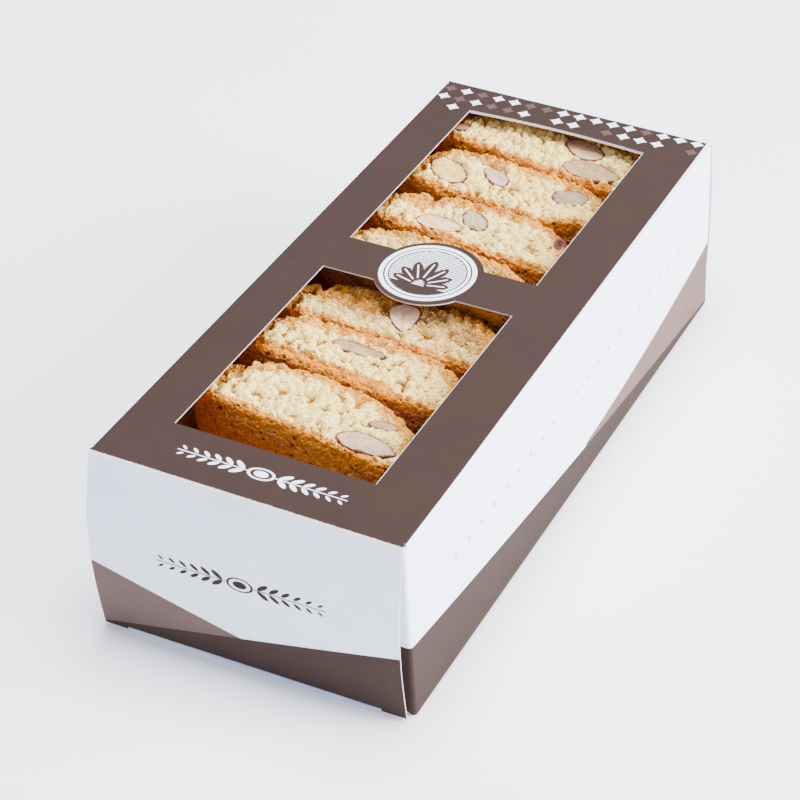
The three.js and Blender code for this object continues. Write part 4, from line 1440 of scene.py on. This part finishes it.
def baked_dough(settings):
    """Crumb, toasted rim and crusts, with painted shade in their crevices, holes and pores. Each place's kind
    comes from the slice's own attributes.
    """
    material, graph, shader = new_material("baked_dough")
    place = graph.millimetres()
    names = ("crust", "sole", "toast", "hollow", "low", "bake", "warm")
    crust, sole, toast, hollow, low, bake, warm = (graph.attribute(name) for name in names)
    # uneven tone over some 4 mm, grit, and the seams between granules
    spread = graph.less(graph.noise(place, 0.26, 4.0, 0.6), 0.5)
    fine = graph.noise(place, 1.7, 4.0, 0.65)
    grit = graph.less(fine, 0.5)
    granule = graph.cells(place, 1.35)
    seam = graph.less(granule, 0.45)
    crevice = graph.sum(hollow, graph.times(grit, 0.8), graph.times(seam, 0.55), graph.times(spread, 0.35))

    # the cut face: pale grains, crevices and deep holes darkened as painted shade, and a toasted rim
    # the crumb browns and darkens by the slice's tone: partly toasting, partly painted shade under the top
    crumb = graph.mix(graph.times(warm, 0.75), settings.crumb, settings.dome)
    crumb = shade_by(graph, crumb, graph.less(1.0, graph.times(warm, 0.36)))
    crumb = graph.mix(graph.span(crevice, 0.14, 0.68), crumb, settings.golden_crevice_shade)
    crumb = graph.mix(graph.span(crevice, 0.68, 1.15), crumb, settings.hole_shade)
    brown = graph.sum(toast, graph.times(grit, 0.9), graph.times(seam, 0.4), graph.times(spread, 0.5))
    crumb = graph.mix(graph.span(brown, 0.1, 0.58), crumb, settings.rim)
    crumb = graph.mix(graph.span(brown, 0.85, 1.25), crumb, settings.dome)

    # the crusts: the bottom one darkens towards its foot, partly baked harder and partly painted shade, and
    # its upper edge is lightened as painted light
    depth = graph.sum(graph.times(low, bake), graph.times(spread, 0.9), graph.times(grit, 0.7))
    sole_colour = graph.mix(graph.span(depth, 0.15, 0.85), settings.sole, settings.baked_and_shaded_sole)
    dome_colour = graph.mix(graph.span(graph.sum(spread, grit), -0.2, 0.25), settings.rim, settings.dome)
    shell = graph.mix(sole, dome_colour, sole_colour)
    # painted light: the bottom crust's upper edge is lightened where it faces away from the lamps
    painted_brow_light = graph.both(graph.span(graph.sum(low, graph.times(grit, 0.6)), 0.45, 0.0), sole, crust)
    colour = graph.mix(graph.span(crust, 0.55, 0.98), crumb, shell)
    # painted shade: the crust's pores and crevices darken towards a near black brown
    pit = graph.both(graph.span(crevice, 0.32, 0.78), graph.span(crust, 0.5, 0.95))
    colour = graph.mix(graph.times(pit, 0.85), colour, settings.pore_shade)
    speck = graph.both(graph.span(graph.noise(place, 1.25, 2.0), 0.56, 0.68, 0.0, 0.6), crust)
    colour = graph.mix(speck, colour, settings.rim)
    # grit varies the tone at random; the darker seams between granules are painted shade, and the lighter
    # upper edge of the bottom crust is painted light
    shade = graph.sum(1.0, graph.times(grit, 0.7), graph.times(seam, -0.35), graph.times(painted_brow_light, 0.35))
    graph.feed(shader.inputs["Base Color"], shade_by(graph, colour, shade))
    relief = graph.sum(graph.times(fine, 0.5), graph.times(graph.invert(granule), 0.5))
    graph.feed(shader.inputs["Normal"], graph.bump(relief, 0.9))
    graph.feed(shader.inputs["Roughness"], graph.less(0.85, graph.times(crust, 0.2)))
    shader.inputs["Specular IOR Level"].default_value = 0.15
    soften(shader, 0.1, (1.2, 0.7, 0.35))
    return material


def cut_kernel(settings):
    """The pale inside of an almond in its own colour, its veins, its skin at the rim, and painted shade that
    darkens the face towards the rim.
    """
    material, graph, shader = new_material("cut_almond")
    place = graph.millimetres()
    vein = graph.attribute("vein")
    own_colour = graph.node("ShaderNodeCombineColor")
    for socket, name in zip(own_colour.inputs, ("red", "green", "blue")):
        graph.feed(socket, graph.attribute(name))
    own_colour = own_colour.outputs[0]
    skin = graph.sum(graph.attribute("skin"), graph.less(graph.noise(place, 1.6, 4.0), 0.5))
    tone = mottled(graph, place, patch=0.25, grain=1.3, amount=1.1)
    colour = graph.mix(graph.span(vein, -0.2, 0.9, 0.0, 0.6), own_colour, shade_by(graph, own_colour, 0.55))
    flake = graph.span(graph.noise(place, 0.9, 5.0, 0.7), 0.63, 0.7, 0.0, 0.3)
    colour = graph.mix(flake, colour, settings.skin)
    # painted shade: the face darkens towards its rim
    colour = graph.mix(graph.span(skin, 0.1, 0.5, 0.0, 0.45), colour, shade_by(graph, colour, 0.62))
    colour = graph.mix(graph.span(skin, 0.5, 0.75), colour, settings.skin)
    graph.feed(shader.inputs["Base Color"], shade_by(graph, colour, tone["Shade"]))
    graph.feed(shader.inputs["Roughness"], graph.sum(0.45, graph.times(tone["Grain"], 0.25)))
    graph.feed(shader.inputs["Normal"], graph.bump(graph.sum(tone["Grain"], vein), 0.12))
    shader.inputs["Specular IOR Level"].default_value = 0.22
    soften(shader, 0.12, (1.0, 0.8, 0.6))
    return material


def loose_crumb(settings):
    """Crumbs of dough, some of them toasted."""
    material, graph, shader = new_material("loose_crumb")
    place = graph.millimetres()
    tint = graph.span(graph.noise(place, 0.7, 3.0), 0.42, 0.7)
    colour = graph.mix(tint, settings.crumb, settings.rim)
    shade = graph.sum(0.85, graph.times(graph.noise(place, 2.4, 2.0), 0.3))
    graph.feed(shader.inputs["Base Color"], shade_by(graph, colour, shade))
    graph.feed(shader.inputs["Normal"], graph.bump(graph.noise(place, 3.5, 3.0), 0.15))
    shader.inputs["Roughness"].default_value = 0.8
    return material


def sugar_grain(settings):
    """Glossy grains of sugar, browned in the oven."""
    material, graph, shader = new_material("sugar_grain")
    tint = graph.noise(graph.millimetres(), 0.6, 2.0)
    graph.feed(shader.inputs["Base Color"], graph.mix(tint, settings.pale_sugar, settings.brown_sugar))
    shader.inputs["Roughness"].default_value = 0.22
    return material


def plain_floor(settings):
    """A matt pale ground, a little uneven in tone."""
    material, graph, shader = new_material("plain_floor")
    shade = graph.sum(0.985, graph.times(graph.noise(graph.millimetres(), 0.01, 2.0), 0.03))
    graph.feed(shader.inputs["Base Color"], shade_by(graph, settings.floor, shade))
    shader.inputs["Roughness"].default_value = 0.75
    return material


# ---- Scattered grains ----
def scatter_tree():
    """Small lumps strewn over the upward cut faces or the crusts of the slices in a collection."""
    tree = bpy.data.node_groups.new("Strewn lumps", "GeometryNodeTree")
    tree.interface.new_socket("Geometry", in_out="INPUT", socket_type="NodeSocketGeometry")
    wanted = (("Slices", "NodeSocketCollection", None), ("Size", "NodeSocketFloat", 0.0004),
              ("Per area", "NodeSocketFloat", 100000.0), ("Where", "NodeSocketString", "crumbs"),
              ("Seed", "NodeSocketInt", 1), ("Material", "NodeSocketMaterial", None))
    for label, kind, default in wanted:
        socket = tree.interface.new_socket(label, in_out="INPUT", socket_type=kind)
        if default is not None:
            socket.default_value = default
    tree.interface.new_socket("Geometry", in_out="OUTPUT", socket_type="NodeSocketGeometry")
    graph = Graph(tree)
    given = graph.node("NodeGroupInput").outputs

    slices = graph.node("GeometryNodeCollectionInfo", transform_space="ORIGINAL")
    graph.feed(slices.inputs["Collection"], given["Slices"])
    surface = graph.node("GeometryNodeRealizeInstances")
    graph.feed(surface.inputs[0], slices.outputs[0])
    where = graph.node("GeometryNodeInputNamedAttribute", data_type="FLOAT")
    graph.feed(where.inputs["Name"], given["Where"])
    cover = next(s for s in where.outputs if s.name == "Attribute" and s.enabled)
    density = graph.times(cover, given["Per area"])
    strewn = graph.node("GeometryNodeDistributePointsOnFaces", distribute_method="RANDOM")
    graph.feed(strewn.inputs["Mesh"], surface.outputs[0])
    graph.feed(strewn.inputs["Density"], density)
    graph.feed(strewn.inputs["Seed"], given["Seed"])
    lump = graph.node("GeometryNodeMeshIcoSphere")
    lump.inputs["Radius"].default_value = 0.5
    lump.inputs["Subdivisions"].default_value = 1
    size = graph.node("FunctionNodeRandomValue", data_type="FLOAT_VECTOR")
    for socket, share in zip((s for s in size.inputs if s.type == "VECTOR"), LUMP_SHARES):
        socket.default_value = share
    graph.feed(next(s for s in size.inputs if s.name == "Seed"), given["Seed"])
    scaled = graph.node("ShaderNodeVectorMath", operation="SCALE")
    graph.feed(scaled.inputs[0], size.outputs[0])
    graph.feed(scaled.inputs["Scale"], given["Size"])
    placed = graph.node("GeometryNodeInstanceOnPoints")
    graph.feed(placed.inputs["Points"], strewn.outputs["Points"])
    graph.feed(placed.inputs["Instance"], lump.outputs["Mesh"])
    graph.feed(placed.inputs["Rotation"], strewn.outputs["Rotation"])
    graph.feed(placed.inputs["Scale"], scaled.outputs[0])
    real = graph.node("GeometryNodeRealizeInstances")
    graph.feed(real.inputs[0], placed.outputs[0])
    dressed = graph.node("GeometryNodeSetMaterial")
    graph.feed(dressed.inputs["Geometry"], real.outputs[0])
    graph.feed(dressed.inputs["Material"], given["Material"])
    graph.feed(graph.node("NodeGroupOutput").inputs[0], dressed.outputs[0])
    return tree


def strew(name, slices, where, size, per_area, seed, material):
    """Runs the scatter tree and keeps only the plain mesh. where is the attribute that thins it out."""
    values = {"Slices": slices, "Where": where, "Size": size, "Per area": per_area, "Seed": seed,
              "Material": material}
    tree = bpy.data.node_groups.get("Strewn lumps") or scatter_tree()
    host = link_mesh(name + "_host", bpy.data.meshes.new(name))
    modifier = host.modifiers.new("strewn", "NODES")
    modifier.node_group = tree
    for item in tree.interface.items_tree:
        if item.item_type == "SOCKET" and item.in_out == "INPUT" and item.name in values:
            modifier[item.identifier] = values[item.name]
    piece = finished_mesh(host, name)
    if not piece.data.polygons:
        raise RuntimeError(f"{name} has no lumps")
    return piece


def attach(piece, slot, *nodes):
    """Rides the piece on the body and hides the solids that it stands for. The slot is not used."""
    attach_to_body(piece, BODY)
    if nodes:
        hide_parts(*nodes)


# ---- Stage ----
def soft_light(name, lamp, power):
    """A square lamp that faces the carton."""
    light = bpy.data.lights.new(name, "AREA")
    light.shape = "SQUARE"
    light.size = lamp["size"]
    light.energy = power
    light.color = lamp["colour"]
    stand = bpy.data.objects.new(name, light)
    stand.location = lamp["place"]
    stand.rotation_euler = (-Vector(lamp["place"])).to_track_quat("-Z", "Y").to_euler()
    bpy.context.scene.collection.objects.link(stand)


def pale_room(scene, strength):
    """Even light from all round."""
    world = bpy.data.worlds.new("pale_room")
    world.use_nodes = True
    background = next(n for n in world.node_tree.nodes if n.type == "BACKGROUND")
    background.inputs["Color"].default_value = ROOM_COLOUR
    background.inputs["Strength"].default_value = strength
    scene.world = world


def aimed_camera():
    """A long lens that looks down on the carton from its front right corner."""
    camera = bpy.data.cameras.new("camera")
    camera.lens = CAMERA["lens"]
    camera.sensor_width = CAMERA["sensor"]
    camera.clip_start = CAMERA["clip_start"]
    viewer = bpy.data.objects.new("camera", camera)
    azimuth, elevation, roll = (math.radians(CAMERA[key]) for key in ("azimuth", "elevation", "roll"))
    turn = Matrix.Rotation(azimuth, 4, "Z") @ Matrix.Rotation(math.pi / 2 - elevation, 4, "X")
    turn = turn @ Matrix.Rotation(roll, 4, "Z")
    away = Matrix.Translation((0, 0, CAMERA["distance"]))
    viewer.matrix_world = Matrix.Translation(CAMERA["aim"]) @ turn @ away
    return viewer


# ---- Operators ----
class BISCOTTI_OT_carton(bpy.types.Operator):
    """Folds the board, cuts its windows and prints it"""

    bl_idname = "biscotti.carton"
    bl_label = "Carton"

    def execute(self, context):
        attach(build_carton(context.scene.biscotti_carton), "board", "carton")
        return {"FINISHED"}


class BISCOTTI_OT_top_row(bpy.types.Operator):
    """Bakes the slices that show through the windows"""

    bl_idname = "biscotti.top_row"
    bl_label = "Top row"

    def execute(self, context):
        settings = context.scene.biscotti_dough
        dough = ready("baked_dough", baked_dough, settings)
        for i, cut in enumerate(TOP_ROW):
            piece = bake_slice(f"slice_{i + 1}", cut, SLICE["thickness"], settings.cell / MM,
                               settings.seed + 3 * i, True)
            piece.data.materials.append(dough)
            attach(piece, "baked", f"biscotto_{i + 1}")
        return {"FINISHED"}


class BISCOTTI_OT_almonds(bpy.types.Operator):
    """Sets the cut almonds into the slices"""

    bl_idname = "biscotti.almonds"
    bl_label = "Almonds"

    def execute(self, context):
        settings = context.scene.biscotti_dough
        kernel_material = ready("cut_almond", cut_kernel, settings)
        number = 0
        for cut in TOP_ROW:
            for kernel in cut["nuts"]:
                number += 1
                mesh = nut_mesh(f"kernel_{number}", kernel, lay_in(cut, cut["top"]), settings.seed + number)
                mesh.materials.append(kernel_material)
                attach(link_mesh(f"kernel_{number}", mesh), "almond", f"almond_{number}")
        return {"FINISHED"}


class BISCOTTI_OT_lower_layers(bpy.types.Operator):
    """Bakes the two layers of slices under the top row"""

    bl_idname = "biscotti.lower_layers"
    bl_label = "Lower layers"

    def execute(self, context):
        settings = context.scene.biscotti_dough
        dough = ready("baked_dough", baked_dough, settings)
        for layer, top in enumerate(LOWER["layers"]):
            for i in range(LOWER["count"]):
                shift = math.sin(i * 2.4 + layer * 1.9)
                cut = dict(LOWER, top=top, front=LOWER["first"] + i * LOWER["pitch"],
                           turn=LOWER["turn"] + shift, centre=LOWER["centre"] + LOWER["sway"] * shift)
                place = f"{layer + 1}_{i + 1}"
                piece = bake_slice(f"lower_slice_{place}", cut, LOWER["thickness"], settings.lower_cell / MM,
                                   settings.seed + 40 + i + 10 * layer, False)
                piece.data.materials.append(dough)
                attach(piece, "baked", f"lower_biscotto_{place}")
        return {"FINISHED"}


class BISCOTTI_OT_grains(bpy.types.Operator):
    """Strews sugar over the crusts and crumbs over the cut faces"""

    bl_idname = "biscotti.grains"
    bl_label = "Sugar and crumbs"

    def execute(self, context):
        settings = context.scene.biscotti_dough
        slices = bpy.data.collections.new("slices in sight")
        for i in range(len(TOP_ROW)):
            slices.objects.link(bpy.data.objects[f"slice_{i + 1}"])
        pieces = [strew("sugar_grains", slices, "sugar", settings.sugar_size, SUGAR_PER_AREA, settings.seed,
                        sugar_grain(settings))]
        finish = loose_crumb(settings)
        for i, (name, share) in enumerate(CRUMB_KINDS):
            pieces.append(strew(name, slices, "crumbs", share * settings.crumb_size, CRUMBS_PER_AREA,
                                settings.seed + 1 + i, finish))
            shade_smooth(pieces[-1].data)
        bpy.data.collections.remove(slices)
        for piece in pieces:
            attach(piece, "baked")
        return {"FINISHED"}


class BISCOTTI_OT_stage(bpy.types.Operator):
    """Lays the floor and sets the lights and the camera"""

    bl_idname = "biscotti.stage"
    bl_label = "Floor, lights and camera"

    def execute(self, context):
        settings = context.scene.biscotti_stage
        corners = [(x * FLOOR_HALF, y * FLOOR_HALF, 0) for x, y in ((-1, -1), (1, -1), (1, 1), (-1, 1))]
        floor = link_mesh("floor", mesh_from("floor", corners, [(0, 1, 2, 3)]))
        floor.data.materials.append(plain_floor(settings))
        for name, lamp in LIGHTS.items():
            soft_light(f"{name}_light", lamp, getattr(settings, name))
        pale_room(context.scene, settings.sky)
        viewer = aimed_camera()
        context.scene.collection.objects.link(viewer)
        context.scene.camera = viewer
        return {"FINISHED"}


class BISCOTTI_PT_panel(bpy.types.Panel):
    """Lists the pieces and their settings"""

    bl_idname = "BISCOTTI_PT_panel"
    bl_label = "Biscotti carton"
    bl_space_type = "VIEW_3D"
    bl_region_type = "UI"
    bl_category = "Biscotti"

    def draw(self, context):
        groups = (
            (context.scene.biscotti_carton, (BISCOTTI_OT_carton,)),
            (context.scene.biscotti_dough,
             (BISCOTTI_OT_top_row, BISCOTTI_OT_almonds, BISCOTTI_OT_lower_layers, BISCOTTI_OT_grains)),
            (context.scene.biscotti_stage, (BISCOTTI_OT_stage,)),
        )
        for settings, operators in groups:
            box = self.layout.box()
            for key in settings.__annotations__:
                box.prop(settings, key)
            for operator in operators:
                box.operator(operator.bl_idname)


CLASSES = (
    BiscottiCartonSettings,
    BiscottiDoughSettings,
    BiscottiStageSettings,
    BISCOTTI_OT_carton,
    BISCOTTI_OT_top_row,
    BISCOTTI_OT_almonds,
    BISCOTTI_OT_lower_layers,
    BISCOTTI_OT_grains,
    BISCOTTI_OT_stage,
    BISCOTTI_PT_panel,
)


def register():
    for cls in CLASSES:
        bpy.utils.register_class(cls)
    bpy.types.Scene.biscotti_carton = PointerProperty(type=BiscottiCartonSettings)
    bpy.types.Scene.biscotti_dough = PointerProperty(type=BiscottiDoughSettings)
    bpy.types.Scene.biscotti_stage = PointerProperty(type=BiscottiStageSettings)


def unregister():
    del bpy.types.Scene.biscotti_stage
    del bpy.types.Scene.biscotti_dough
    del bpy.types.Scene.biscotti_carton
    for cls in reversed(CLASSES):
        bpy.utils.unregister_class(cls)


def main():
    register()
    for build in (bpy.ops.biscotti.stage, bpy.ops.biscotti.carton, bpy.ops.biscotti.top_row,
                  bpy.ops.biscotti.almonds, bpy.ops.biscotti.lower_layers, bpy.ops.biscotti.grains):
        build()


if __name__ == "__main__":
    main()
